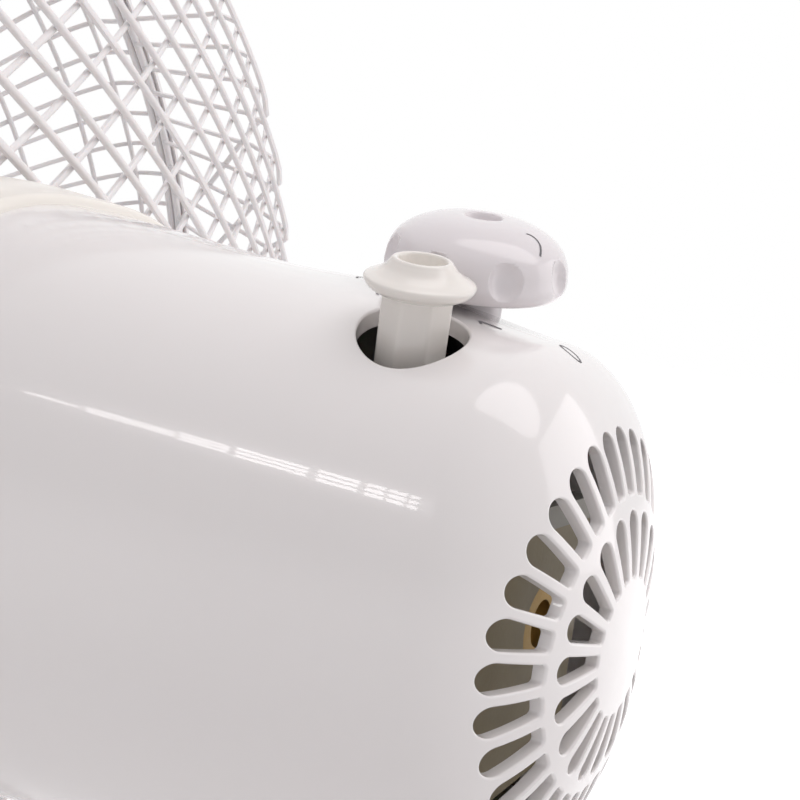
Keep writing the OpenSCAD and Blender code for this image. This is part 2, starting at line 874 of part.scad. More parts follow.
module tail_bush() {
    color(brass) turned_ring(tail_bush_r - fit_gap, shaft_r + running_gap, -case_rear, -case_rear + 5);
}

module gearbox_cover() {
    color(zinc) difference() {
        union() {
            intersection() {
                case_block(0, lid_top);
                translate([case_l, case_front, case_top])
                    cube([case_r - case_l, case_rear - case_front, lid_t]);
            }
            translate([pull_x, pull_y, 0]) upright(clutch_r + 3, lid_boss_low, case_top + 1);
        }
        translate([pull_x, pull_y, 0]) {
            upright(clutch_r + running_gap, lid_boss_low - 1, clutch_top + seat_gap);
            upright(pull_rod_r + running_gap, case_top - 3, lid_top + 1);
        }
    }
}

module gearbox_screws() {
    head_t = 2;
    grip = 7;
    color(steel) case_screw_places() {
        along_y(case_screw_r, case_wall + grip, case_front - grip);
        along_y(case_screw_r * 1.5, head_t, case_front + case_wall);
    }
}

// Covers

// Slot outline on the rear face, pointing up from the axis
module slot_shape(tip_r, root_r, tip_w, root_w) {
    centre = tip_r - tip_w / 2;
    union() {
        translate([0, centre]) circle(r = tip_w / 2, $fn = 48);
        polygon([[-tip_w / 2, centre], [-root_w / 2, root_r], [root_w / 2, root_r], [tip_w / 2, centre]]);
    }
}

// Row of slots cut through the rear dome
module slot_row(count, tip_r, root_r, tip_w, root_w) {
    around_axis(count)
        translate([0, rear_y + 2, 0]) rotate([90, 0, 0]) linear_extrude(dome_depth + 6)
            slot_shape(tip_r, root_r, tip_w, root_w);
}

module housing_shell() {
    outer = housing_rings(0, seam_y);
    inner = housing_rings(cover_wall, seam_y);
    n = section_steps;
    m = len(outer);
    function wall(first, flip) = [for (j = [0 : m - 2], k = [0 : n - 1])
        let (a = first + j * n + k, b = first + j * n + (k + 1) % n)
        each (flip ? [[a, b + n, a + n], [a, b, b + n]] : [[a, a + n, b + n], [a, b + n, b]])];
    rim = [for (k = [0 : n - 1])
        let (a = k, b = (k + 1) % n) each [[a, b, m * n + b], [a, m * n + b, m * n + a]]];
    outer_cap = [for (k = [n - 1 : -1 : 0]) (m - 1) * n + k];
    inner_cap = [for (k = [0 : n - 1]) m * n + (m - 1) * n + k];
    polyhedron([for (ring = concat(outer, inner)) each ring],
        concat(wall(0, false), wall(m * n, true), rim, [outer_cap, inner_cap]));
}

module rear_cover() {
    below = half_tall * 2;
    color(white_gloss) difference() {
        union() {
            housing_shell();
            rear_screw_places() upright(rear_boss_r, rear_boss_low, pad_low - seat_gap);
        }
        slot_row(outer_slots, outer_tip_r, outer_root_r, outer_slot_w, outer_root_w);
        slot_row(inner_slots, inner_tip_r, disc_r, inner_slot_w, inner_root_w);
        translate([pull_x, pull_y, 0]) upright(pull_hole_d / 2, lid_top, axis_h + below);
        leaning(speed_x, speed_y, speed_seat) translate([speed_x, speed_y, 0]) {
                upright(bushing_r + 0.2, switch_shoulder_top, nut_top);
                upright(nut_r + 0.2, nut_top - nut_t, nut_top + nut_t);
            }
        upright(opening_r, axis_h - below, shroud_top + seat_gap);
        rear_screw_places() {
            upright(rear_screw_r + 0.2, axis_h - below, pad_low);
            upright(rear_recess_r, axis_h - below, rear_recess_top);
        }
    }
}

module rear_cover_screws() {
    head_t = 2;
    color(steel) rear_screw_places() {
        upright(rear_recess_r - seat_gap, rear_recess_top - head_t, rear_recess_top);
        upright(rear_screw_r, rear_recess_top - head_t, rear_screw_top);
    }
}

// One ring of points of the front cover, which follows the section of the rear cover
function front_ring(y, inset) = housing_ring(y, inset, cover_step);

module front_cover() {
    edge = cover_edge_r;
    turn = 4;
    back_edge = 2.4;
    start = -seam_y;
    outer = concat(
        [for (i = [0 : turn]) front_ring(start - back_edge * (1 - cos(i * 90 / turn)),
            back_edge * (1 - sin(i * 90 / turn)) * 0.9)],
        [front_ring(-cover_front + edge, 0)],
        [for (i = [1 : turn + 1])
            front_ring(-cover_front + edge * (1 - sin(i * 90 / (turn + 1))),
                edge * (1 - cos(i * 90 / (turn + 1))))]);
    inner = [
        front_ring(-cover_front + front_wall_t, edge),
        front_ring(-cover_front + edge, cover_wall),
        front_ring(start, cover_wall)];
    rings = concat(inner, outer);
    color(warm_white) difference() {
        loft_cup(rings);
        turned_disc(nose_step_r + seat_gap, bracket_front_y, cover_front + 2);
        for (side = [-1, 1]) translate([side * cover_screw_x, 0, axis_h])
            along_y(1.9, 6, -cover_front - 2);
    }
}

module front_cover_screws() {
    head_t = 1.8;
    color(steel) for (side = [-1, 1]) translate([side * cover_screw_x, 0, axis_h]) {
        along_y(3.4, head_t, -cover_front - head_t);
        along_y(1.55, cover_front - bracket_front_y + 2, -cover_front);
    }
}

// Switch and capacitor

// Children lean as the knobs do, about a point on the housing
module leaning(x, y, z) {
    translate([x, y, z]) rotate([0, 0, knob_lean_turn]) rotate([0, knob_lean, 0])
        rotate([0, 0, -knob_lean_turn]) translate([-x, -y, -z]) children();
}

module speed_switch() {
    tab_count = 4;
    color(black) leaning(speed_x, speed_y, speed_seat) translate([speed_x, speed_y, 0]) difference() {
        union() {
            upright(switch_r, switch_low, switch_low + switch_t);
            upright(bushing_r + 1.5, switch_low + switch_t - 1, switch_shoulder_top);
            upright(bushing_r, switch_low + switch_t - 1, nut_top);
            for (i = [0 : tab_count - 1])
                translate([-switch_r - 3, -7.5 + i * 4, switch_low + 2]) cube([6, 2.4, 0.8]);
        }
        upright(spindle_r + running_gap, spindle_low - seat_gap, nut_top + 1);
    }
}

module switch_nut() {
    color(white_gloss) leaning(speed_x, speed_y, speed_seat) translate([speed_x, speed_y, 0])
        upright_ring(nut_r, bushing_r + fit_gap, nut_top - nut_t, nut_top);
}

module switch_spindle() {
    color(steel) leaning(speed_x, speed_y, speed_seat)
        translate([speed_x, speed_y, 0]) upright(spindle_r, spindle_low, spindle_top);
}

module capacitor() {
    color(black) translate([case_l - seat_gap - cap_w, case_front + 6, cap_low])
        cube([cap_w, cap_l, cap_h]);
}

module capacitor_clamp() {
    strap = 1;
    strap_w = 8;
    y = case_front + 6 + (cap_l - strap_w) / 2;
    low = cap_low - seat_gap;
    tall = cap_h + 2 * seat_gap;
    left = case_l - 2 * seat_gap - cap_w;
    color(steel) difference() {
        translate([left - strap, y, low - strap])
            cube([case_l - left + strap, strap_w, tall + 2 * strap]);
        translate([left, y - 1, low]) cube([case_l - left + 1, strap_w + 2, tall]);
    }
}

// Guard

// Forward distance of the rear dish at a radius
function dish_y(r) = guard_back_y + (shoulder_y - guard_back_y)
    * pow((r - guard_hub_r) / (guard_r - guard_hub_r), dish_power);

// Forward distance of the front face at a radius
function face_y(r) = let (u = (r - guard_hub_r) / (guard_r - guard_hub_r))
    front_edge_y + front_dome * sqrt(max(0, 1 - u * u));

// Point of the quarter ellipse between hub and rim
function arc_r(i, steps) = guard_hub_r + (guard_r - guard_hub_r) * sin(i * 90 / steps);

// Flat bent rib that follows a line of [radius, forward distance] points
module rib(line) {
    n = len(line) - 1;
    function side(i) = let (a = line[max(0, i - 1)], b = line[min(n, i + 1)], d = b - a)
        [-d[1], d[0]] / norm(d) * rib_t / 2;
    outline = concat([for (i = [0 : n]) line[i] + side(i)],
        [for (i = [n : -1 : 0]) line[i] - side(i)]);
    rotate([90, 0, 0]) linear_extrude(rib_t, center = true) polygon(outline);
}

// Ribs all round the motor axis, each in a plane through it
module ribs(line) {
    for (i = [0 : rib_count - 1])
        translate([0, 0, axis_h]) rotate([90, 0, 0]) rotate([0, 0, i * 360 / rib_count])
            rib(line);
}

// Square-section ring about the motor axis
module wire_ring(r, y, wire) {
    turned_ring(r + wire, r - wire, y - wire, y + wire);
}

// Points of the round corner between the dish and the rim
function corner_line(steps) =
    let (near = [guard_r - shoulder_corner, dish_y(guard_r - shoulder_corner)])
    let (middle = [guard_r, shoulder_y])
    let (far = [guard_r, shoulder_y + shoulder_corner])
    [for (i = [0 : steps]) let (t = i / steps)
        near * pow(1 - t, 2) + middle * 2 * t * (1 - t) + far * t * t];

module rear_guard() {
    steps = 6;
    reach = guard_r - shoulder_corner - guard_hub_r;
    line = concat([[guard_hub_r - 8, guard_back_y - rib_t / 2]],
        [for (i = [0 : steps - 1]) let (r = guard_hub_r + reach * i / steps) [r, dish_y(r)]],
        corner_line(4), [[guard_r, rim_y - rim_half_gap]]);
    color(white_gloss) {
        turned_ring(guard_hub_r - 6, nose_r + seat_gap, nose_step_y, guard_back_y);
        ribs(line);
        for (i = [0 : ring_count]) {
            r = guard_hub_r + reach * i / ring_count;
            wire_ring(r, dish_y(r), ring_wire_r);
        }
        wire_ring(guard_r, rim_y - rim_half_gap, rim_wire_r);
    }
}

module front_guard() {
    steps = 9;
    under_badge = front_face_y - rib_t / 2 - 0.1;
    line = concat(
        [for (i = [0 : steps]) [arc_r(i, steps), face_y(arc_r(i, steps))]],
        [[guard_r, rim_y + rim_half_gap]]);
    color(white_gloss) {
        turned_disc(badge_r - 1, front_face_y - 1.5, front_face_y);
        wire_ring(guard_hub_r, front_face_y, rim_wire_r);
        ribs(concat([[badge_r - 4, under_badge], [badge_r + 1, under_badge]], line));
        for (i = [1 : ring_count]) {
            r = arc_r(i * 0.9, ring_count);
            wire_ring(r, face_y(r), ring_wire_r);
        }
        wire_ring(guard_r, rim_y + rim_half_gap, rim_wire_r);
    }
}

module guard_ring() {
    lip = band_in_r - guard_r - rib_t / 2 - seat_gap;
    half = band_w / 2;
    color(white_gloss) difference() {
        turned([[band_in_r, rim_y - half], [band_in_r - lip, rim_y - half],
            [band_in_r - lip, rim_y - half - band_t], [band_in_r + band_t, rim_y - half - band_t],
            [band_in_r + band_t, rim_y + half + band_t], [band_in_r - lip, rim_y + half + band_t],
            [band_in_r - lip, rim_y + half], [band_in_r, rim_y + half]]);
        translate([-1, -rim_y - band_w, axis_h - band_in_r - 5]) cube([2, band_w * 2, 12]);
    }
}

module guard_ring_screw() {
    z = axis_h - band_in_r - band_t - 4.5;
    color(steel) {
        for (side = [-1, 1]) translate([side * 4.5 - 1.5, -rim_y - 5, z - 4]) difference() {
            cube([3, 10, 8.45]);
            translate([0, 5, 4]) along_x(1.9, 8, -2);
        }
        translate([0, -rim_y, z]) along_x(1.8, 16, -8);
        translate([0, -rim_y, z]) along_x(3.2, 2.4, -8.5);
        translate([0, -rim_y, z]) along_x(3.6, 2.4, 6.1, 6);
    }
}

module guard_nut() {
    low = guard_back_y + seat_gap;
    grips = 8;
    color(black) difference() {
        union() {
            turned_ring(guard_nut_r - 3, nose_r + running_gap, low, low + guard_nut_t);
            around_axis(grips) translate([0, 0, guard_nut_r - 5])
                along_y(3, guard_nut_t, -low - guard_nut_t);
        }
        turned_disc(nose_r + running_gap, low - 1, low + guard_nut_t + 1);
    }
}

module guard_badge() {
    color(white_gloss) turned([[0, front_face_y], [badge_r, front_face_y],
        [badge_r - 1.5, front_face_y + badge_t * 0.5], [badge_r - 8, front_face_y + badge_t],
        [0, front_face_y + badge_t]]);
}

// Turning pieces

module rotor_core() {
    over = 2;
    color(steel) turned_ring(rotor_r, shaft_r + fit_gap, core_rear_y - over, core_front_y + over);
}

module motor_shaft() {
    color(steel) turned_disc(shaft_r, -tail_end, shaft_front);
}

module drive_worm() {
    turns = 6;
    pitch = 2.8;
    length = turns * pitch;
    start = -pull_y - length / 2;
    outline = concat([[shaft_r + fit_gap, start]],
        [for (i = [0 : turns - 1]) each [
            [worm_r - 0.9, start + i * pitch], [worm_r, start + (i + 0.3) * pitch],
            [worm_r, start + (i + 0.6) * pitch], [worm_r - 0.9, start + (i + 0.9) * pitch]]],
        [[worm_r - 0.9, start + length], [shaft_r + fit_gap, start + length]]);
    color(steel) turned(outline);
}

// Point on a blade, where u runs from the leading to the trailing edge
function blade_point(r, u, lift) =
    let (s = (r - hub_r) / (blade_r - hub_r))
    let (span = 62 - 6 * s)
    let (lead = -span / 2 + 26 * s * s)
    let (round_off = s > 0.8 ? 14 * pow((s - 0.8) / 0.2, 2) : 0)
    let (angle = lead + round_off * (1 - 2 * u) * 0.5 + u * span)
    let (depth = blade_depth * (0.86 + 0.14 * (1 - s)))
    let (y = blade_back_y + depth * (0.5 - 0.5 * cos(180 * (0.12 + 0.76 * u))))
    [r * sin(angle), -(y + lift), r * cos(angle)];

// One section across a blade as a closed ring of points
function blade_section(r) = let (steps = 8) concat(
    [for (i = [0 : steps]) blade_point(r, i / steps, blade_t / 2)],
    [for (i = [steps : -1 : 0]) blade_point(r, i / steps, -blade_t / 2)]);

module fan_blade() {
    root = hub_r - 3;
    stations = 10;
    sections = [for (k = [0 : stations]) blade_section(root + (blade_r - root) * k / stations)];
    color(white_gloss) difference() {
        union() {
            turned([[0, hub_back_y], [hub_r * 0.5, hub_back_y], [hub_r * 0.5, blade_back_y - 8],
                [hub_r, blade_back_y - 4], [hub_r, hub_front_y + 10], [hub_r - 4, hub_front_y + 16],
                [blade_nut_r + 2, hub_front_y + 16], [blade_nut_r + 2, hub_front_y],
                [0, hub_front_y]]);
            around_axis(blade_count, blade_start) loft(sections);
        }
        turned_disc(shaft_r + running_gap, hub_back_y - 1, hub_front_y + 1);
        translate([0, -drive_pin_y, axis_h])
            along_x(drive_pin_r + 0.1, drive_pin_len + 1, -drive_pin_len / 2 - 0.5);
    }
}

module blade_nut() {
    color(white_gloss) difference() {
        turned([[0, hub_front_y + seat_gap], [blade_nut_r, hub_front_y + seat_gap],
            [blade_nut_r, nut_front_y - 8], [blade_nut_r - 3, nut_front_y - 2],
            [blade_nut_r - 8, nut_front_y], [0, nut_front_y]]);
        turned_disc(shaft_r + fit_gap, hub_front_y, shaft_front + seat_gap);
    }
}

module drive_pin() {
    color(steel) translate([0, -drive_pin_y, axis_h]) difference() {
        along_x(drive_pin_r, drive_pin_len, -drive_pin_len / 2);
        along_x(drive_pin_r + 1, shaft_r * 2, -shaft_r);
    }
}

module worm_wheel() {
    color(nylon) translate([pull_x, pull_y, axis_h - wheel_t / 2]) difference() {
        gear(wheel_r, wheel_teeth, 1, wheel_t);
        translate([0, 0, -1]) cylinder(r = clutch_r + running_gap, h = wheel_t + 2, $fn = 64);
    }
}

module clutch_shaft() {
    color(steel) translate([pull_x, pull_y, 0]) difference() {
        union() {
            upright(clutch_r, case_low + 0.5, clutch_top);
            translate([0, 0, gear_low]) gear(pinion_r, pinion_teeth, 1, gear_t);
            upright(clutch_r + 2.5, gear_low + gear_t, axis_h - wheel_t / 2 - seat_gap);
        }
        upright(pull_rod_r + running_gap, pull_rod_low - pull_travel - 1, clutch_top + 1);
    }
}

module crank_gear() {
    color(steel) translate([0, pull_y, 0]) difference() {
        union() {
            translate([0, 0, gear_low]) gear(crank_gear_r, wheel_teeth, 1, gear_t);
            upright(crank_shaft_r, crank_disc_low, gear_low + 1);
            upright(crank_disc_r, crank_disc_low, crank_disc_low + crank_disc_t);
            translate([-crank_throw, 0, 0]) upright(crank_pin_r, crank_pin_low, crank_disc_low + 1);
        }
        translate([-crank_throw, 0, 0]) upright(1.5 + running_gap, crank_pin_low - 1, crank_disc_low + 1);
    }
}

module crank_screw() {
    head_t = 2;
    color(steel) translate([-crank_throw, pull_y, 0]) {
        upright(5.5, crank_pin_low - head_t, crank_pin_low);
        upright(1.5, crank_pin_low - head_t, crank_disc_low);
    }
}

module link_arm() {
    reach = [-anchor_x + link_side, pull_y];
    from = [-anchor_x, 0];
    length = norm(reach - from);
    bar_w = 6;
    aim = atan2(pull_y, link_side);
    color(steel) translate([-anchor_x, 0, link_low]) rotate([0, 0, aim]) difference() {
        union() {
            cylinder(r = anchor_pin_r + 3, h = link_t, $fn = 64);
            translate([length, 0, 0]) cylinder(r = link_eye_r, h = link_t, $fn = 64);
            translate([0, -bar_w / 2, 0]) cube([length, bar_w, link_t]);
        }
        translate([0, 0, -1]) cylinder(r = anchor_pin_r + running_gap, h = link_t + 2, $fn = 64);
        translate([length, 0, -1])
            cylinder(r = crank_pin_r + open_pivot_play, h = link_t + 2, $fn = 64);
    }
}

// Knobs

module pull_knob() {
    head_r = pull_head_d / 2;
    mid = axis_h + pull_head_h;
    color(warm_white) difference() {
        leaning(pull_x, pull_y, pull_seat) translate([pull_x, pull_y, 0]) {
            translate([0, 0, pull_stem_low]) rotate([0, 0, pull_stem_turn])
                cylinder(r = pull_stem_d / 2, h = mid - pull_stem_low, $fn = 8);
            rotate_extrude($fn = 96) polygon([[0, mid - 2.4], [pull_stem_d / 2 - 0.6, mid - 2.4],
                [head_r - 1.2, mid - 1.1], [head_r - 0.2, mid - 0.5], [head_r, mid],
                [head_r - 0.3, mid + 0.5], [head_r - 1.2, mid + 1], [head_r - 4, mid + 3],
                [head_r - 4.6, mid + 3.2], [head_r - 5, mid + 2.8],
                [head_r - 5.6, mid + 1.4], [0, mid + 1.2]]);
        }
        translate([pull_x, pull_y, 0])
            upright(pull_rod_r + fit_gap, pull_stem_low - 3, pull_rod_up + seat_gap);
    }
}

module pull_rod() {
    color(steel) translate([pull_x, pull_y, 0]) upright(pull_rod_r, pull_rod_low, pull_rod_up);
}

module speed_knob() {
    r = speed_d / 2;
    z = speed_low;
    color(knob_white) leaning(speed_x, speed_y, speed_seat) translate([speed_x, speed_y, 0]) difference() {
        rotate_extrude($fn = 96) polygon([[0, z], [r - 4.2, z], [r - 1.6, z + 0.4], [r - 0.5, z + 1.2],
            [r, z + 2.6], [r - 0.1, z + 4.2], [r - 0.5, z + 6.1], [r - 1.8, z + 8.4], [r - 4.4, z + 10.4],
            [r - 7.6, z + 11.7], [r - 10.6, z + speed_h - 0.2], [3.4, z + speed_h],
            [2.6, z + speed_h - 0.5], [0, z + speed_h - 1.1]]);
        around_z(speed_dimples, r + dimple_r - dimple_deep) translate([0, 0, z + dimple_up])
            sphere(r = dimple_r, $fn = 48);
        upright(spindle_r + fit_gap, z - 1, spindle_top + seat_gap);
    }
}

// Assembly

base_shell();
base_plate();
base_weight();
rubber_feet();
base_screws();
cord_inlet();
column_tube();
column_ring();
column_plug();
column_bolt();
tilt_clevis();
clevis_screws();
tilt_bolt();
tilt_knob();
swivel_post();
swivel_shroud();
swivel_washer();
swivel_clip();
anchor_clip();
motor_front_bracket();
motor_rear_bracket();
stator_core();
stator_windings();
front_bearing();
rear_bearing();
motor_bolts();
pivot_bush();
gearbox_case();
gearbox_cover();
gearbox_screws();
tail_bush();
front_cover();
front_cover_screws();
rear_cover();
rear_cover_screws();
speed_switch();
switch_nut();
capacitor();
capacitor_clamp();
rear_guard();
front_guard();
guard_ring();
guard_ring_screw();
guard_nut();
guard_badge();
rotor_core();
motor_shaft();
drive_worm();
fan_blade();
blade_nut();
drive_pin();
worm_wheel();
clutch_shaft();
crank_gear();
crank_screw();
link_arm();
pull_knob();
pull_rod();
speed_knob();
switch_spindle();
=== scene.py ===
import math

import bpy
from mathutils import Matrix, Vector
from mathutils.geometry import delaunay_2d_cdt


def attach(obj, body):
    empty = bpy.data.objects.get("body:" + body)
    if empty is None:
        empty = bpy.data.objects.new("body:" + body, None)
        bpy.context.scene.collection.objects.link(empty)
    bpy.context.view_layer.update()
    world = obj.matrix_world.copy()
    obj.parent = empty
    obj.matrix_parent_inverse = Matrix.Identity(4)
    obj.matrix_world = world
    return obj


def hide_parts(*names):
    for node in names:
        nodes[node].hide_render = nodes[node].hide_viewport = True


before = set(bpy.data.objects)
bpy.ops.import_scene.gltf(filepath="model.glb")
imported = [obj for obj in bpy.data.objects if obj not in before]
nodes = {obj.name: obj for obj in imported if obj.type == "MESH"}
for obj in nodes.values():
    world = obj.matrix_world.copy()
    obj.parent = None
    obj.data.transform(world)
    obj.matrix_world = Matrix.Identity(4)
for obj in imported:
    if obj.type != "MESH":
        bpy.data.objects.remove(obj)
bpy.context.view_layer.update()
mm = 0.001
print("frame loaded:", len(nodes), "nodes")


# all lengths below are in millimetres until a mesh is made

def tint(red, green, blue):
    # turns a colour read as 0-255 into what a shader takes
    def one(v):
        v = v / 255
        return v / 12.92 if v <= 0.04045 else ((v + 0.055) / 1.055) ** 2.4
    return (one(red), one(green), one(blue), 1.0)


def surface(name, look):
    # a shader whose colour, gloss and relief vary a little over the piece
    mat = bpy.data.materials.new(name)
    mat.use_nodes = True
    tree = mat.node_tree
    shader = tree.nodes["Principled BSDF"]
    for label, value in (("Metallic", look.get("metal", 0.0)), ("Coat Weight", look.get("coat", 0.0)),
            ("Coat Roughness", look.get("coatRough", 0.05)), ("Subsurface Weight", look.get("glow", 0.0)),
            ("Subsurface Radius", (0.004, 0.003, 0.0025)), ("Subsurface Scale", 0.5)):
        shader.inputs[label].default_value = value
    place = tree.nodes.new("ShaderNodeTexCoord")
    stretch = tree.nodes.new("ShaderNodeMapping")
    stretch.inputs["Scale"].default_value = look.get("stretch", (1, 1, 1))
    tree.links.new(place.outputs["Object"], stretch.inputs["Vector"])

    def noise(scale, detail):
        n = tree.nodes.new("ShaderNodeTexNoise")
        n.inputs["Scale"].default_value = scale
        n.inputs["Detail"].default_value = detail
        tree.links.new(stretch.outputs["Vector"], n.inputs["Vector"])
        return n.outputs["Fac"]

    mottle = noise(look.get("patch", 30), 3)
    ramp = tree.nodes.new("ShaderNodeValToRGB")
    base = look["colour"]
    vary = look.get("vary", 0.03)
    ramp.color_ramp.elements[0].position = 0.3
    ramp.color_ramp.elements[1].position = 0.7
    ramp.color_ramp.elements[0].color = tuple(c * (1 - vary) for c in base[:3]) + (1,)
    ramp.color_ramp.elements[1].color = tuple(min(1, c * (1 + vary)) for c in base[:3]) + (1,)
    tree.links.new(mottle, ramp.inputs["Fac"])
    tree.links.new(ramp.outputs["Color"], shader.inputs["Base Color"])
    spread = tree.nodes.new("ShaderNodeMapRange")
    rough = look.get("rough", 0.3)
    spread.inputs["To Min"].default_value = rough * (1 - look.get("roughVary", 0.15))
    spread.inputs["To Max"].default_value = rough * (1 + look.get("roughVary", 0.15))
    tree.links.new(noise(look.get("patch", 30) * 2.3, 4), spread.inputs["Value"])
    tree.links.new(spread.outputs["Result"], shader.inputs["Roughness"])
    relief = tree.nodes.new("ShaderNodeBump")
    relief.inputs["Strength"].default_value = look.get("relief", 0.05)
    relief.inputs["Distance"].default_value = look.get("reliefDeep", 0.0002)
    tree.links.new(noise(look.get("grain", 900), 2), relief.inputs["Height"])
    tree.links.new(relief.outputs["Normal"], shader.inputs["Normal"])
    return mat


def piece(name, form, mat, body, replaced=(), normals=None, sharp=None):
    mesh = bpy.data.meshes.new(name)
    mesh.from_pydata([(x * mm, y * mm, z * mm) for x, y, z in form.points], [], form.faces)
    mesh.validate()
    mesh.polygons.foreach_set("use_smooth", [True] * len(mesh.polygons))
    if sharp is not None:
        mesh.set_sharp_from_angle(angle=math.radians(sharp))
    if normals is not None:
        mesh.normals_split_custom_set_from_vertices(normals)
    mesh.materials.append(mat)
    obj = bpy.data.objects.new(name, mesh)
    bpy.context.scene.collection.objects.link(obj)
    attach(obj, body)
    if replaced:
        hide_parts(*replaced)
    return obj


def dress(mat, *names):
    # gives carried-over solids a better surface
    for name in names:
        obj = nodes[name]
        obj.data.materials.clear()
        obj.data.materials.append(mat)


def evenly(many):
    # angles spaced evenly round a circle
    return [2 * math.pi * i / many for i in range(many)]


class Form:
    # points and faces that grow piece by piece
    def __init__(self):
        self.points = []
        self.faces = []

    def ring(self, points):
        first = len(self.points)
        self.points.extend(points)
        return list(range(first, first + len(points)))

    def bridge(self, a, b, closed=True, flip=False):
        n = len(a)
        for k in range(n if closed else n - 1):
            m = (k + 1) % n
            quad = (a[k], a[m], b[m], b[k])
            self.faces.append(quad[::-1] if flip else quad)

    def cap(self, ring, flip=False):
        self.faces.append(tuple(ring[::-1] if flip else ring))

    def skin(self, rings, closed=False):
        # faces from each ring to the next, and from the last back to the first if it closes
        for a, b in zip(rings, rings[1:]):
            self.bridge(a, b)
        if closed:
            self.bridge(rings[-1], rings[0])

    def capEnds(self, rings):
        self.cap(rings[0], True)
        self.cap(rings[-1])

    def lathe(self, profile, centre=(0, 0), steps=96, axis="z", shape=None):
        # turns (radius, height) points about an upright or a lengthwise axis
        rings = []
        for r, h in profile:
            row = []
            for a in evenly(steps):
                rr = shape(r, h, a) if shape else r
                if axis == "z":
                    row.append((centre[0] + rr * math.cos(a), centre[1] + rr * math.sin(a), h))
                elif axis == "y":
                    row.append((centre[0] + rr * math.cos(a), -h, centre[1] + rr * math.sin(a)))
                else:
                    row.append((h, centre[0] + rr * math.cos(a), centre[1] + rr * math.sin(a)))
            rings.append(self.ring(row))
        self.skin(rings)
        return rings

    def wire(self, path, radius, sides=7, closed=False):
        # a round wire along a path
        n = len(path)
        pts = [Vector(p) for p in path]
        normal = None
        rings = []
        for i in range(n):
            if closed:
                along = (pts[(i + 1) % n] - pts[i - 1]).normalized()
            else:
                along = (pts[min(n - 1, i + 1)] - pts[max(0, i - 1)]).normalized()
            if normal is None:
                normal = along.orthogonal().normalized()
            normal = (normal - along * normal.dot(along)).normalized()
            side = along.cross(normal)
            rings.append(self.ring([tuple(pts[i] + (normal * math.cos(a) + side * math.sin(a)) * radius)
                for a in evenly(sides)]))
        self.skin(rings)
        if closed:
            # the last ring is matched to the first by the nearest corner
            a, b = rings[-1], rings[0]
            first = Vector(self.points[a[0]])
            shift = min(range(sides), key=lambda k: (Vector(self.points[b[k]]) - first).length)
            self.bridge(a, b[shift:] + b[:shift])
        else:
            self.capEnds(rings)


def smoothLine(points, per=8):
    # a smooth curve through rough points
    out = []
    for i in range(len(points) - 1):
        p0, p1 = points[max(0, i - 1)], points[i]
        p2, p3 = points[i + 1], points[min(len(points) - 1, i + 2)]
        for k in range(per):
            t = k / per
            out.append(tuple(0.5 * (2 * b + (c - a) * t + (2 * a - 5 * b + 4 * c - d) * t * t
                + (3 * b - a - 3 * c + d) * t ** 3) for a, b, c, d in zip(p0, p1, p2, p3)))
    out.append(tuple(points[-1]))
    return out


# the finishes, from the gloss of the casing to the ink of the dial
glossWhite = surface("glossWhite", dict(colour=tint(238, 235, 234), rough=0.16, roughVary=0.1,
    vary=0.008, patch=18, grain=260, relief=0.012, coat=0.7, coatRough=0.02, glow=0.03))
creamWhite = surface("creamWhite", dict(colour=tint(243, 239, 231), rough=0.24, roughVary=0.1,
    vary=0.01, patch=20, grain=300, relief=0.02, coat=0.2, coatRough=0.1, glow=0.03))
warmWhite = surface("warmWhite", dict(colour=tint(238, 234, 228), rough=0.22, roughVary=0.1,
    vary=0.01, patch=60, grain=500, relief=0.02, coat=0.3, coatRough=0.06, glow=0.04))
knobWhite = surface("knobWhite", dict(colour=tint(229, 224, 226), rough=0.15, roughVary=0.1,
    vary=0.01, patch=50, grain=400, relief=0.015, coat=0.4, coatRough=0.04, glow=0.04))
bladeWhite = surface("bladeWhite", dict(colour=tint(232, 233, 234), rough=0.22, vary=0.012,
    patch=9, grain=200, relief=0.02, coat=0.2, coatRough=0.08))
guardPaint = surface("guardPaint", dict(colour=tint(243, 240, 240), rough=0.34, vary=0.03,
    patch=90, grain=700, relief=0.12, coat=0.15, coatRough=0.15, glow=0.22))
tubePaint = surface("tubePaint", dict(colour=tint(236, 235, 233), rough=0.25, vary=0.015,
    patch=30, grain=500, relief=0.06, coat=0.25, coatRough=0.08))
castZinc = surface("castZinc", dict(colour=tint(168, 166, 160), rough=0.5, metal=0.6, vary=0.08,
    patch=60, grain=900, relief=0.25))
# gearbox case: darker and browner than its bare zinc, painted shade for the dim inside of the housing behind
# the slots
paintedShadeCase = surface("paintedShadeCase", dict(colour=tint(142, 130, 102), rough=0.42, vary=0.12,
    patch=45, grain=800, relief=0.2, glow=0.12))
brightSteel = surface("brightSteel", dict(colour=tint(190, 190, 192), rough=0.28, metal=1.0,
    vary=0.05, patch=90, grain=900, relief=0.1, stretch=(1, 1, 6)))
plainIron = surface("plainIron", dict(colour=tint(82, 80, 78), rough=0.55, metal=0.5, vary=0.12,
    patch=80, grain=700, relief=0.3, stretch=(1, 14, 1)))
copperWire = surface("copperWire", dict(colour=tint(164, 96, 52), rough=0.35, metal=0.8, vary=0.12,
    patch=60, grain=1500, relief=0.4))
bronze = surface("bronze", dict(colour=tint(178, 146, 84), rough=0.4, metal=0.9, vary=0.08,
    patch=120, grain=1200, relief=0.2))
blackPlastic = surface("blackPlastic", dict(colour=tint(34, 33, 34), rough=0.4, vary=0.15,
    patch=70, grain=1400, relief=0.2))
darkRubber = surface("darkRubber", dict(colour=tint(42, 41, 43), rough=0.75, vary=0.12,
    patch=60, grain=1500, relief=0.35))
nylonGear = surface("nylonGear", dict(colour=tint(228, 222, 202), rough=0.4, vary=0.04,
    patch=60, grain=900, relief=0.1, glow=0.1))
greyInk = surface("greyInk", dict(colour=tint(96, 94, 98), rough=0.5, vary=0.1, patch=500))
print("surfaces made")

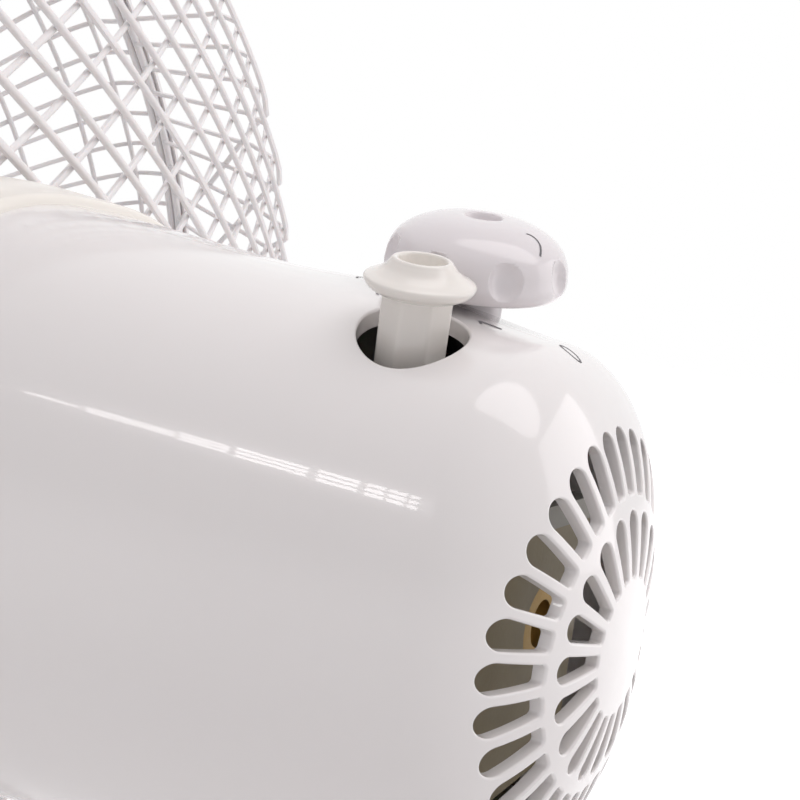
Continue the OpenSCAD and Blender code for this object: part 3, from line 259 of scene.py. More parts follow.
# motor housing: a rounded-square shell with a rear dome
housing = {
    "axis": 350.0,
    "wide": 39.5,
    "tall": 46.3,
    "power": 2.55,
    "domeStart": 54.3,
    "domeDepth": 20.7,
    "growth": 0.00285,
    "seam": -48.0,
    "wall": 2.3,
    "edge": 0.45,
    "columns": 288,
    "rowGap": 2.3,
    "domeRows": 12,
    "faceShare": 0.905,    # how far towards the outline the rear face with the slots reaches
    "faceGap": 0.95,       # spacing of the points on the rear face
    "faceEdge": 0.018,     # share of the face left free of such points at its outline
    "slotClear": 0.35,     # and their room round a slot
    "slotDeep": 2.1,
    "outerSlots": 32,
    "innerSlots": 20,
    "slotSteps": 44,
    "slotPitch": 0.8,
    # discs whose shared outline is a slot: (distance from the axis, sideways, radius)
    "outerDiscs": [(32.1, 0.0, 2.3), (25.1, -0.75, 0.8), (25.1, 0.75, 0.8)],
    "innerDiscs": [(19.75, 0.0, 2.0), (11.9, -0.45, 0.5), (11.9, 0.45, 0.5)],
    "hole": (19.3, 39.3, 8.75),    # pull knob's hole: x, y, radius
    "holeWall": 2.9,
    "holeSteps": 96,
    "holeColumns": (5, 32),    # columns and margin of the patch of skin round the hole
    "holeMargin": 3.0,
    "holeClear": 0.8,
    "unrollR": 47.0,           # radius on which that patch is laid flat
    "crown": {"rise": 2.4, "wide": 13.0, "middle": 28.0, "long": 21.0, "fade": 30.0},
    # round openings in the underside: (x, y, radius)
    "underside": [(0, 0, 28.3), (10, -31, 3.4), (-10, -31, 3.4)],
}
axisH = housing["axis"]
domeLift = housing["growth"] * housing["domeDepth"]
domeJoin = housing["domeDepth"] * domeLift / math.sqrt(1 + domeLift ** 2)
domeShare = (1 - housing["growth"] * domeJoin) / math.sqrt(1 - (domeJoin / housing["domeDepth"]) ** 2)


def sectionScale(y):
    s = y - housing["domeStart"]
    if s <= domeJoin:
        return 1 - housing["growth"] * s
    return domeShare * math.sqrt(max(0.0, 1 - (s / housing["domeDepth"]) ** 2))


def outline(angle, grow=0.0):
    p = housing["power"]
    return 1 / ((abs(math.sin(angle)) / (housing["wide"] + grow)) ** p
        + (abs(math.cos(angle)) / (housing["tall"] + grow)) ** p) ** (1 / p)


def share(x, z):
    p = housing["power"]
    return ((abs(x) / housing["wide"]) ** p + (abs(z) / housing["tall"]) ** p) ** (1 / p)


def domeY(x, z):
    return housing["domeStart"] + housing["domeDepth"] * math.sqrt(
        max(0.0, 1 - (share(x, z) / domeShare) ** 2))


def topZ(x, y):
    k = sectionScale(y)
    p = housing["power"]
    return housing["tall"] * k * (1 - (abs(x) / (housing["wide"] * k)) ** p) ** (1 / p)


def crown(x, y):
    # the slight rise of the casing's top between the knobs and the seam
    c = housing["crown"]
    return c["rise"] * math.exp(-(x / c["wide"]) ** 2 - ((y - c["middle"]) / c["long"]) ** 2)


def facing(x, y, z):
    # outward direction of the housing's surface
    p = housing["power"]
    rho = max(share(x, z), 1e-6)
    gx = math.copysign(abs(x) ** (p - 1) / housing["wide"] ** p, x) * rho ** (1 - p)
    gz = math.copysign(abs(z) ** (p - 1) / housing["tall"] ** p, z) * rho ** (1 - p)
    s = y - housing["domeStart"]
    if s <= domeJoin:
        return Vector((gx, housing["growth"], gz)).normalized()
    return Vector((rho * gx, domeShare ** 2 * s / housing["domeDepth"] ** 2, rho * gz)).normalized()


def slotLoop(discs, turn, extra):
    # outline round a set of discs, grown by a bit, turned about the motor axis
    steps = housing["slotSteps"]
    picks = []
    for i in range(steps):
        a = 2 * math.pi * (i + 0.5) / steps
        n = (math.cos(a), math.sin(a))
        c = max(discs, key=lambda d: d[1] * n[0] + d[0] * n[1] + d[2])
        picks.append((c, n))
    loop = []
    for i in range(steps):
        (c, n), (c2, n2) = picks[i], picks[(i + 1) % steps]
        spots = [0.0]
        if c is not c2:
            length = math.hypot(c[0] - c2[0], c[1] - c2[1])
            many = max(1, round(length / housing["slotPitch"]))
            spots = [k / many for k in range(many)]
        for t in spots:
            nn = (n[0] + (n2[0] - n[0]) * t, n[1] + (n2[1] - n[1]) * t)
            size = math.hypot(*nn)
            p1 = (c[1] + (c[2] + extra) * n[0], c[0] + (c[2] + extra) * n[1])
            p2 = (c2[1] + (c2[2] + extra) * n2[0], c2[0] + (c2[2] + extra) * n2[1])
            loop.append((p1[0] + (p2[0] - p1[0]) * t, p1[1] + (p2[1] - p1[1]) * t,
                nn[0] / size, nn[1] / size))
    ct, st = math.cos(turn), math.sin(turn)
    return [(x * ct + z * st, -x * st + z * ct, nx * ct + nz * st, -nx * st + nz * ct)
        for x, z, nx, nz in loop]


def boxesRound(loops):
    # each loop with its smallest and largest x and z in front
    return [(min(p[0] for p in loop), max(p[0] for p in loop), min(p[1] for p in loop),
        max(p[1] for p in loop), loop) for loop in loops]


def inAny(x, z, boxes):
    return any(b[0] < x < b[1] and b[2] < z < b[3] and inside(x, z, b[4]) for b in boxes)


def inside(x, z, loop):
    hit = False
    n = len(loop)
    for i in range(n):
        x1, z1, x2, z2 = loop[i][0], loop[i][1], loop[i - 1][0], loop[i - 1][1]
        if (z1 > z) != (z2 > z) and x < (x2 - x1) * (z - z1) / (z2 - z1) + x1:
            hit = not hit
    return hit


def fillFlat(border, loops, spots):
    # triangles over a flat region with holes, as triples of input numbers
    flat = [Vector(p[:2]) for p in border]
    edges = [(i, (i + 1) % len(border)) for i in range(len(border))]
    for loop in loops:
        first = len(flat)
        flat += [Vector(p[:2]) for p in loop]
        edges += [(first + i, first + (i + 1) % len(loop)) for i in range(len(loop))]
    flat += [Vector(p[:2]) for p in spots]
    made, _, faces, origin, _, _ = delaunay_2d_cdt(flat, edges, [], 0, 1e-6, True)
    back = [o[0] if o else None for o in origin]
    boxes = boxesRound(loops)
    kept = []
    for face in faces:
        x = sum(made[i][0] for i in face) / 3
        z = sum(made[i][1] for i in face) / 3
        if inside(x, z, border) and not inAny(x, z, boxes):
            kept.append(tuple(back[i] for i in face))
    return kept


def openUnderside(grid, outer, inner):
    # leaves out the cells inside each opening and draws the corners round it onto its circle
    cols = len(grid[0])
    inOpening = {}
    for row in grid:
        for n in row:
            x, y, z = outer[n]
            for cx, cy, r in housing["underside"]:
                if z < 0 and math.hypot(x - cx, y - cy) < r:
                    inOpening[n] = (cx, cy, r)
    gone, rims = set(), []

    def corners(i, j):
        m = (i + 1) % cols
        return grid[j][i], grid[j][m], grid[j + 1][m], grid[j + 1][i]

    cells = [(i, j) for j in range(len(grid) - 1) for i in range(cols)]
    for i, j in cells:
        if all(n in inOpening for n in corners(i, j)):
            gone.add((i, j))
    edge = {n for i, j in cells if (i, j) not in gone for n in corners(i, j) if n in inOpening}
    for n in edge:
        cx, cy, r = inOpening[n]
        x, y, z = outer[n]
        d = max(math.hypot(x - cx, y - cy), 0.1)
        x, y = cx + (x - cx) * r / d, cy + (y - cy) * r / d
        outer[n] = (x, y, -topZ(x, y))
        inner[n] = (x, y, -topZ(x, y) + housing["wall"])
    for i, j in gone:
        for (di, dj), (a, b) in (((0, -1), (0, 1)), ((1, 0), (1, 2)), ((0, 1), (2, 3)), ((-1, 0), (3, 0))):
            if ((i + di) % cols, j + dj) not in gone:
                c = corners(i, j)
                rims.append((c[a], c[b]))
    return gone, rims


def makeHousing():
    h = housing
    cols = h["columns"]
    angles = evenly(cols)
    start = h["domeStart"] + domeJoin
    many = round((start - h["seam"]) / h["rowGap"])
    rows = [h["seam"] + (start - h["seam"]) * j / many for j in range(many + 1)]
    low = math.asin(domeJoin / h["domeDepth"])
    high = math.acos(h["faceShare"] / domeShare)
    turns = [low + (high - low) * j / h["domeRows"] for j in range(1, h["domeRows"] + 1)]
    rows += [h["domeStart"] + h["domeDepth"] * math.sin(t) for t in turns]
    outer, inner, normals, faces = [], [], [], []

    def add(x, y, z, back):
        n = facing(x, y, z)
        outer.append((x, y, z))
        normals.append(n)
        # the inner face lies behind along the draw of the mould on the rear face
        flat = Vector((0, -h["slotDeep"], 0))
        side = -n * h["wall"]
        d = flat * back + side * (1 - back)
        inner.append((x + d.x, y + d.y, z + d.z))
        return len(outer) - 1

    grid = []
    for j, y in enumerate(rows):
        k = sectionScale(y)
        back = max(0.0, (j - many) / h["domeRows"])
        grid.append([add(math.sin(a) * outline(a) * k, y, math.cos(a) * outline(a) * k, back)
            for a in angles])
    gone, rims = openUnderside(grid, outer, inner)
    # patch of skin round the pull knob's hole
    hx, hy, hr = h["hole"]
    colA, colB = h["holeColumns"]
    rowA = max(j for j in range(many) if rows[j] < hy - hr - h["holeMargin"])
    rowB = min(j for j in range(many) if rows[j] > hy + hr + h["holeMargin"])
    for j in range(len(rows) - 1):
        for i in range(cols):
            if (rowA <= j < rowB and colA <= i < colB) or (i, j) in gone:
                continue
            m = (i + 1) % cols
            faces.append((grid[j][i], grid[j][m], grid[j + 1][m], grid[j + 1][i]))
    edge = h["edge"]

    def holePoint(a, extra):
        x, y = hx + (hr + extra) * math.cos(a), hy + (hr + extra) * math.sin(a)
        return x, y, topZ(x, y)

    ringAngles = evenly(h["holeSteps"])
    holeIds = []
    holeFlat = []
    for a in ringAngles:
        x, y, z = holePoint(a, edge)
        holeIds.append(add(x, y, z, 0))
        holeFlat.append((math.atan2(x, z) * h["unrollR"], y))
    border = [(i, rowA) for i in range(colA, colB)] + [(colB, j) for j in range(rowA, rowB)]
    border += [(i, rowB) for i in range(colB, colA, -1)] + [(colA, j) for j in range(rowB, rowA, -1)]
    spots = []
    for j in range(rowA + 1, rowB):
        for i in range(colA + 1, colB):
            x, y, z = outer[grid[j][i]]
            if math.hypot(x - hx, y - hy) > hr + edge + h["holeClear"]:
                spots.append((i, j))
    names = [grid[j][i] for i, j in border] + holeIds + [grid[j][i] for i, j in spots]
    flatBorder = [(angles[i] * h["unrollR"], rows[j]) for i, j in border]
    flatSpots = [(angles[i] * h["unrollR"], rows[j]) for i, j in spots]
    for face in fillFlat(flatBorder, [holeFlat], flatSpots):
        faces.append(tuple(names[i] for i in face))
    # rear face with its two rows of slots
    last = grid[-1]
    border = [(outer[i][0], outer[i][2]) for i in last]
    loops = []
    for count, discs in ((h["outerSlots"], h["outerDiscs"]), (h["innerSlots"], h["innerDiscs"])):
        loops += [(discs, turn) for turn in evenly(count)]
    outlines = [slotLoop(d, t, edge) for d, t in loops]
    boxes = boxesRound([slotLoop(d, t, edge + h["slotClear"]) for d, t in loops])
    spots = []
    gap = h["faceGap"]
    rowStep = gap * 0.87    # near enough to the height of a triangle of even sides
    down, across = int(h["tall"] / rowStep), int(h["wide"] / gap) + 1
    for r in range(-down, down + 1):
        for c in range(-across, across + 1):
            x, z = (c + 0.5 * (r % 2)) * gap, r * rowStep
            if share(x, z) <= h["faceShare"] - h["faceEdge"] and not inAny(x, z, boxes):
                spots.append((x, z))
    ids = list(last)
    loopIds = []
    for loop in outlines:
        mine = [add(x, domeY(x, z), z, 1) for x, z, nx, nz in loop]
        loopIds.append(mine)
        ids += mine
    ids += [add(x, domeY(x, z), z, 1) for x, z in spots]
    for face in fillFlat(border, outlines, spots):
        faces.append(tuple(ids[i] for i in face[::-1]))
    print("housing skin:", len(outer), "points")

    points = [(x, y, z + axisH) for x, y, z in outer]
    shape = Form()
    shape.points = points
    shape.faces = list(faces)
    allNormals = list(normals)
    bend = [(math.sin(t), math.cos(t)) for t in (math.radians(v) for v in (22.5, 45, 67.5, 90))]

    def lip(start, place, deep, away):
        # a rounded edge, then the straight wall of the opening
        previous = start
        for s, c in bend:
            ring = []
            for k in range(len(start)):
                x, y, z = place(k, edge * (1 - s), edge * (1 - c))
                ring.append((x, y, z + axisH))
                n = (normals[start[k]] * c - away[k] * s).normalized()
                allNormals.append(n)
            now = shape.ring(ring)
            shape.bridge(previous, now)
            previous = now
        ring = []
        for k in range(len(start)):
            x, y, z = place(k, 0.0, deep)
            ring.append((x, y, z + axisH))
            allNormals.append(-away[k])
        shape.bridge(previous, shape.ring(ring))

    def slotPlace(discs, turn):
        made = {}

        def place(k, extra, deep):
            # the loop runs backwards, so that its walls face into the slot
            if extra not in made:
                made[extra] = slotLoop(discs, turn, extra)[::-1]
            x, z = made[extra][k][:2]
            return x, domeY(x, z) - deep, z
        return place

    for (discs, turn), start in zip(loops, loopIds):
        away = [Vector((p[2], 0, p[3])) for p in slotLoop(discs, turn, 0)[::-1]]
        lip(start[::-1], slotPlace(discs, turn), h["slotDeep"], away)

    def placeHole(k, extra, deep):
        x, y, z = holePoint(ringAngles[k], extra)
        return x, y, z - deep

    away = [Vector((math.cos(a), math.sin(a), 0)) for a in ringAngles]
    lip(holeIds, placeHole, h["holeWall"], away)
    # inner skin, and the narrow front rim
    base = len(shape.points)
    shape.points += [(x, y, z + axisH) for x, y, z in inner]
    allNormals += [-n for n in normals]
    shape.faces += [tuple(base + i for i in f[::-1]) for f in faces]
    front = shape.ring([shape.points[i] for i in grid[0]])
    behind = shape.ring([shape.points[base + i] for i in grid[0]])
    allNormals += [Vector((0, -1, 0))] * (2 * cols)
    shape.bridge(front, behind, flip=True)
    shape.faces += [(a, b, base + b, base + a) for a, b in rims]
    fade = h["crown"]["fade"]
    shape.points = [(x, y, z + crown(x, y) * min(1.0, max(0.0, (z - axisH) / fade)))
        for x, y, z in shape.points]
    piece("rearHousing", shape, glossWhite, "head", ["rear_cover"],
        normals=allNormals)


makeHousing()
print("housing made")


# front cover: the wider cup that the rear housing closes against
frontCover = {
    "step": 1.8, "front": -77.0, "round": 9.0, "lip": 2.4, "wall": 2.3, "plate": 2.0,
    "nose": 24.3, "noseEdge": 0.3, "noseRim": 4.0, "straight": (8, 14),
}


def aroundMotor(r, y, angle):
    # a point about the motor axis; angle nought is straight up
    return r * math.sin(angle), y, axisH + r * math.cos(angle)


def coverRing(y, grow, shape):
    k = sectionScale(y)
    p = housing["power"]
    row = []
    for a in evenly(housing["columns"]):
        r = 1 / ((abs(math.sin(a)) / (housing["wide"] * k + grow)) ** p
            + (abs(math.cos(a)) / (housing["tall"] * k + grow)) ** p) ** (1 / p)
        row.append(aroundMotor(r, y, a))
    return shape.ring(row)


def noseRing(y, r, shape):
    return shape.ring([aroundMotor(r, y, a) for a in evenly(housing["columns"])])


def makeFrontCover():
    c, start = frontCover, housing["seam"]
    turns = [math.radians(t) for t in range(0, 91, 10)]
    line = [(start, -c["wall"] + c["step"])]
    line += [(start - c["lip"] * (1 - math.cos(t)), c["step"] - c["lip"] * (1 - math.sin(t)) * 0.9)
        for t in turns]
    line += [(start - reach, c["step"]) for reach in c["straight"]]
    line += [(c["front"] + c["round"] * (1 - math.sin(t)), c["step"] - c["round"] * (1 - math.cos(t)))
        for t in turns]
    shape = Form()
    rings = [coverRing(y, grow, shape) for y, grow in line]
    rings += [noseRing(c["front"], c["nose"] + grow, shape) for grow in (c["noseRim"], c["noseEdge"])]
    rings += [noseRing(c["front"] + back, c["nose"], shape) for back in (c["noseEdge"], c["plate"])]
    inner = [(c["front"] + c["plate"], c["step"] - c["round"])]
    depths = (c["front"] + c["round"], start - c["straight"][0], start)
    inner += [(y, c["step"] - c["wall"]) for y in depths]
    rings += [coverRing(y, grow, shape) for y, grow in inner]
    shape.skin(rings, True)
    piece("frontShell", shape, creamWhite, "head", ["front_cover"],
        sharp=50)


makeFrontCover()

# both knobs on top of the housing lean the same way
knobLean = {"tilt": 15.6, "towards": 28.6}


def leanOver(shape, place, seat):
    # tips a knob about the point where it leaves the housing
    turn = math.radians(knobLean["towards"])
    spin = Matrix.Rotation(math.radians(knobLean["tilt"]), 3, (-math.sin(turn), math.cos(turn), 0))
    foot = Vector((*place, seat))
    shape.points = [tuple(foot + spin @ (Vector(p) - foot)) for p in shape.points]


pullKnob = {"place": (19.3, 39.3), "low": 383.5, "mid": 403.7, "head": 8.8, "stem": 5.85, "seat": 397.0,
    "stemTurn": 5.8}


def makePullKnob():
    k = pullKnob
    mid, head, stem = k["mid"], k["head"], k["stem"]
    neck = mid - 2.4
    profile = [(0.02, k["low"]), (stem - 0.5, k["low"]), (stem, k["low"] + 0.5), (stem, mid - 9),
        (stem, neck - 0.4), (stem + 0.12, neck)]
    # over the rim of the head and down into its bowl: (in from the head's radius, up from its middle)
    rim = [(1.7, -2.15), (0.6, -1.45), (0.05, -0.55), (0.1, -0.05), (0.6, 0.28), (1.7, 0.8),
        (2.9, 1.6), (3.7, 2.5), (4.15, 3.08), (4.55, 3.22), (4.95, 3.0), (5.2, 2.0), (5.6, 0.6),
        (6.4, -0.3), (7.4, -0.6)]
    profile += smoothLine([(stem + 0.3, neck + 0.02)] + [(head - into, mid + up) for into, up in rim]
        + [(0.02, mid - 0.7)], 5)

    def octagon(r, h, a):
        if h > neck + 0.01:
            return r
        turn = (a - math.radians(k["stemTurn"])) % (math.pi / 4) - math.pi / 8
        return r * min(1.0, math.cos(math.pi / 8) / math.cos(turn) * 1.015)

    shape = Form()
    rings = shape.lathe(profile, k["place"], 160, "z", octagon)
    shape.capEnds(rings)
    leanOver(shape, k["place"], k["seat"])
    piece("pullKnobBody", shape, warmWhite, "pull_knob", ["pull_knob"],
        sharp=26)


speedKnob = {"place": (-6.9, 35.8), "low": 404.2, "r": 16.1, "dimples": 8, "ball": 4.1, "deep": 1.9,
    "ballUp": 6.0, "ballStretch": 0.8, "seat": 398.4, "collar": 5.7, "collarTall": 7.6, "collarBore": 4.55}


def speedProfile():
    r, z = speedKnob["r"], speedKnob["low"]
    # from the foot up the side, over the crown and down into the bowl
    side = [(r - 4.2, z), (r - 1.6, z + 0.4), (r - 0.5, z + 1.2), (r, z + 2.6), (r - 0.1, z + 4.2)]
    crown = [(r - 0.5, z + 6.1), (r - 1.8, z + 8.4), (r - 4.4, z + 10.4), (r - 7.6, z + 11.7),
        (r - 10.6, z + 12.25)]
    bowl = [(4.0, z + 12.38), (3.3, z + 12.2), (2.8, z + 11.0), (2.2, z + 10.4), (0.02, z + 10.3)]
    return smoothLine(side + crown + bowl, 6)


def makeSpeedKnob():
    k = speedKnob
    out = k["r"] + k["ball"] - k["deep"]

    def dimpled(r, h, a):
        step = 2 * math.pi / k["dimples"]
        da = (a + step / 2) % step - step / 2
        up = (h - k["low"] - k["ballUp"]) * k["ballStretch"]
        room = k["ball"] ** 2 - up ** 2 - (out * math.sin(da)) ** 2
        if room <= 0:
            return r
        return min(r, out * math.cos(da) - math.sqrt(room))

    shape = Form()
    low = [(0.02, k["low"]), (k["r"] - 5, k["low"])]
    rings = shape.lathe(low + speedProfile(), k["place"], 512, "z", dimpled)
    shape.capEnds(rings)
    leanOver(shape, k["place"], k["seat"])
    piece("speedKnobBody", shape, knobWhite, "speed_knob", ["speed_knob"],
        sharp=24)
    collar = Form()
    top, foot, r = k["low"] - 0.4, k["low"] - 0.4 - k["collarTall"], k["collar"]
    bore = k["collarBore"]
    collar.lathe([(bore, foot), (r, foot), (r, top - 0.5), (r - 0.4, top), (bore, top), (bore, foot)],
        k["place"], 64)
    leanOver(collar, k["place"], k["seat"])
    piece("switchCollar", collar, knobWhite, "head", ["switch_nut"], sharp=40)


def strip(shape, path, width, lift):
    # a flat inked stroke along points; lift gives the height over the surface at a point
    left, right = [], []
    n = len(path)
    for i, p in enumerate(path):
        a, b = Vector(path[max(0, i - 1)]), Vector(path[min(n - 1, i + 1)])
        d = (b - a).normalized()
        side = Vector((-d.y, d.x)) * width / 2
        for row, q in ((left, Vector(p) + side), (right, Vector(p) - side)):
            row.append((q.x, q.y, lift(q.x, q.y)))
    shape.bridge(shape.ring(right), shape.ring(left), closed=False)


def arc(cx, cy, rx, ry, start, end, many=14):
    return [(cx + rx * math.cos(math.radians(start + (end - start) * i / many)),
        cy + ry * math.sin(math.radians(start + (end - start) * i / many))) for i in range(many + 1)]


dial = {
    "width": 0.42,
    "rise": 0.035,
    # plain numbers 0 to 3: the place of each on the casing, and its strokes
    "digits": [
        ((2.5, 59.2), [arc(0, 0, 1.1, 1.85, 0, 360, 28)]),
        ((7.9, 46.9), [[(-1.1, 1.0), (0.1, 2.0)], [(-0.7, 1.25), (0.1, 1.95)],
            [(0.15, 2.1), (0.15, 0), (0.15, -2.1)], [(0.35, 2.0), (0.35, -2.0)]]),
        ((10.2, 28.9), [arc(0, 0.9, 1.25, 1.2, 165, -35) + [(0.2, -1.0), (-1.3, -2.1)],
            [(-1.3, -2.1), (1.3, -2.1)]]),
        ((3.7, 20.6), [arc(0, 1.0, 1.15, 1.1, 150, -80), arc(0, -1.0, 1.3, 1.15, 80, -150)]),
    ],
    # curved mark on the speed knob: (degrees, distance from its middle)
    "pointer": [(80, 9.2), (83.5, 9.8), (84, 10.8), (81.5, 12.0), (77, 13.0), (73, 13.8)],
    "pointerWidth": 0.34,
    "pointerRise": 0.06,
}


def makeMarks():
    ink = Form()
    for (cx, cy), strokes in dial["digits"]:
        for path in strokes:
            strip(ink, [(cx - u, cy - v) for u, v in path], dial["width"],
                lambda x, y: topZ(x, y) + crown(x, y) + axisH + dial["rise"])
    piece("dialNumbers", ink, greyInk, "head")
    profile = [p for p in speedProfile() if p[1] > speedKnob["low"] + 4]
    x0, y0 = speedKnob["place"]

    def over(x, y):
        r = math.hypot(x - x0, y - y0)
        for (r1, z1), (r2, z2) in zip(profile, profile[1:]):
            if r2 <= r <= r1:
                return z1 + (z2 - z1) * (r1 - r) / max(r1 - r2, 1e-6) + dial["pointerRise"]
        return profile[0][1]

    line = smoothLine([(x0 + r * math.cos(math.radians(a)), y0 + r * math.sin(math.radians(a)))
        for a, r in dial["pointer"]], 4)
    mark = Form()
    strip(mark, line, dial["pointerWidth"], over)
    leanOver(mark, speedKnob["place"], speedKnob["seat"])
    piece("speedPointer", mark, greyInk, "speed_knob")


makePullKnob()
makeSpeedKnob()
makeMarks()
print("covers, knobs and marks made")

# wire guard: crossed wires over the dish at the back, spokes and hoops at the front
guard = {
    "r": 215.0, "hub": 46.0, "back": 81.0, "shoulder": 143.0, "power": 1.5, "corner": 12.0,
    "rim": 204.0, "rimGap": 1.9, "edge": 216.0, "dome": 40.0,
    "pitch": 13.2, "wire": 1.15, "thin": 0.95, "frontWires": 104, "frontWire": 1.0,
    "hoopWire": 1.6, "frontHoops": 5, "frontHoopWire": 1.0,
    "rise": (34.5, 40.0), "shift": (88.7, 48.6),    # slope in degrees and offset of each set of rear wires
    "lastWire": 0.955,    # share of the radius beyond which no wire crosses
    "step": 8.0,          # spacing of the points along a wire
    "steepest": 1.1,      # largest slope of a wire on the side of the guard
}


def dishTable():
    g = guard
    near = g["r"] - g["corner"]
    rows = []
    for i in range(41):
        r = g["hub"] + (near - g["hub"]) * i / 40
        rows.append((r, g["back"] + (g["shoulder"] - g["back"])
            * ((r - g["hub"]) / (g["r"] - g["hub"])) ** g["power"]))
    start, end = rows[-1], (g["r"], g["shoulder"] + g["corner"])
    for i in range(1, 13):
        t = i / 12
        rows.append(tuple(start[k] * (1 - t) ** 2 + (g["r"], g["shoulder"])[k] * 2 * t * (1 - t)
            + end[k] * t * t for k in (0, 1)))
    return rows


dish = dishTable()


def dishY(r):
    for (r1, y1), (r2, y2) in zip(dish, dish[1:]):
        if r <= r2:
            return y1 + (y2 - y1) * max(0.0, r - r1) / max(r2 - r1, 1e-6)
    return dish[-1][1]


def chords(shape, rise, shift, turn, wire, sink):
    # straight wires across the dish that then run down the side to the rim
    g = guard
    t = math.radians(rise)
    along = (-math.cos(t), -math.sin(t)) if turn > 0 else (-math.cos(t), math.sin(t))
    normal = (-math.sin(t), math.cos(t)) if turn > 0 else (math.sin(t), math.cos(t))
    many = int(2 * g["r"] / g["pitch"])
    for k in range(-many, many + 1):
        d = shift + k * g["pitch"]
        if abs(d) > g["r"] * g["lastWire"]:
            continue
        reach = math.sqrt(g["r"] ** 2 - d * d)
        if abs(d) < g["hub"] + 1:
            start = math.sqrt((g["hub"] + 0.5) ** 2 - min(abs(d), g["hub"]) ** 2)
            spans = [(start, reach), (-reach, -start)]
        else:
            spans = [(-reach, reach)]
        for lo, hi in spans:
            parts = max(6, int((hi - lo) / g["step"]))
            path = []
            for i in range(parts + 1):
                u = lo + (hi - lo) * i / parts
                path.append((normal[0] * d + along[0] * u, normal[1] * d + along[1] * u))
            line = []
            for x, z in path:
                r = min(math.hypot(x, z), g["r"] - 0.01)
                line.append((x, -dishY(r) - sink, axisH + z))
            for side in (0, 1):
                x, z = path[-1] if side else path[0]
                if math.hypot(x, z) < g["r"] - 1:
                    continue
                x2, z2 = path[-2] if side else path[1]
                swing = math.atan2(x, z) - math.atan2(x2, z2)
                slope = max(-g["steepest"], min(g["steepest"], swing * g["r"] / g["step"]))
                low = dish[-1][1]
                far = g["rim"] - g["rimGap"]
                extra = []
                for j in range(1, 7):
                    y = low + (far - low) * j / 6
                    a = math.atan2(x, z) + slope * (y - low) / g["r"]
                    extra.append(aroundMotor(g["r"] - sink * 0.4, -y, a))
                line = line + extra if side else extra[::-1] + line
            shape.wire(line, wire, 6)


def hoop(shape, r, y, wire, sides=8, many=192):
    shape.wire([aroundMotor(r, -y, a) for a in evenly(many)], wire, sides, True)


def makeGuard():
    g = guard
    rear = Form()
    chords(rear, g["rise"][0], g["shift"][0], 1, g["wire"], 0.0)
    chords(rear, g["rise"][1], g["shift"][1], -1, g["thin"], g["wire"] + g["thin"])
    hoop(rear, g["r"], g["rim"] - g["rimGap"], g["hoopWire"])
    hoop(rear, g["hub"], g["back"], g["hoopWire"])
    rear.lathe([(20.3, 79.6), (44.5, 79.6), (45.2, 80.2), (45.2, 80.7), (44.5, 81.0), (20.3, 81.0),
        (20.3, 79.6)], (0, axisH), 96, "y")
    piece("rearWires", rear, guardPaint, "head", ["rear_guard"],
        sharp=60)
    front = Form()
    for a in evenly(g["frontWires"]):
        line = [(g["r"], g["rim"] + g["rimGap"]), (g["r"], g["edge"] - 4)]
        for i in range(19):
            t = math.pi / 2 * i / 18
            r = g["hub"] + (g["r"] - g["hub"]) * math.cos(t)
            line.append((r, g["edge"] + g["dome"] * math.sin(t)))
        line.append((g["hub"] - 4, g["edge"] + g["dome"] - 0.6))
        front.wire([aroundMotor(r, -y, a) for r, y in line], g["frontWire"], 6)
    hoop(front, g["r"], g["rim"] + g["rimGap"], g["hoopWire"])
    hoop(front, g["hub"], g["edge"] + g["dome"], g["hoopWire"])
    for i in range(1, g["frontHoops"] + 1):
        t = math.pi / 2 * i * 0.9 / g["frontHoops"]
        r = g["hub"] + (g["r"] - g["hub"]) * math.sin(t)
        hoop(front, r, g["edge"] + g["dome"] * math.cos(t) - 1.7, g["frontHoopWire"])
    front.lathe([(0.02, 254.5), (41, 254.5), (41, 256), (0.02, 256)], (0, axisH), 96, "y")
    piece("frontWires", front, guardPaint, "head", ["front_guard"],
        sharp=60)
    badge = Form()
    badge.lathe([(0.02, 256.0), (41.5, 256.0), (42.0, 256.5), (41.8, 257.4), (41.0, 258.3), (39.5, 259.2),
        (37.5, 259.9), (34.0, 260.4), (33.2, 260.1), (32.4, 260.4), (20, 260.8), (0.02, 261.0)],
        (0, axisH), 128, "y")
    piece("badgeDisc", badge, bladeWhite, "head", ["guard_badge"],
        sharp=40)


makeGuard()
print("guard made")

# blades and their nut; angles are in degrees and s runs from 0 at the hub to 1 at the tip
blades = {
    "hub": 36.0, "tip": 195.0, "count": 3, "start": 0, "thick": 2.4, "deep": 44.0, "back": 152.0,
    "span": 62, "spanLoss": 6, "sweep": 26,    # how wide a blade is at the hub, loses and leans by the tip
    "tipBend": 14, "bendFrom": 0.8,
    "hubDeep": 0.14, "curlFrom": 0.12, "curlOver": 0.76,
    "stations": 40, "across": 32,
}


def bladePoint(r, u, lift):
    b = blades
    s = (r - b["hub"]) / (b["tip"] - b["hub"])
    span = b["span"] - b["spanLoss"] * s
    bend = b["tipBend"] * (max(0.0, s - b["bendFrom"]) / (1 - b["bendFrom"])) ** 2
    angle = math.radians(-span / 2 + b["sweep"] * s * s + bend * (1 - 2 * u) * 0.5 + u * span)
    deep = b["deep"] * (1 - b["hubDeep"] * s)
    y = b["back"] + deep * (0.5 - 0.5 * math.cos(math.pi * (b["curlFrom"] + b["curlOver"] * u)))
    edge = 1 - abs(2 * u - 1) ** 8 * 0.8
    return r, angle, y + lift * edge


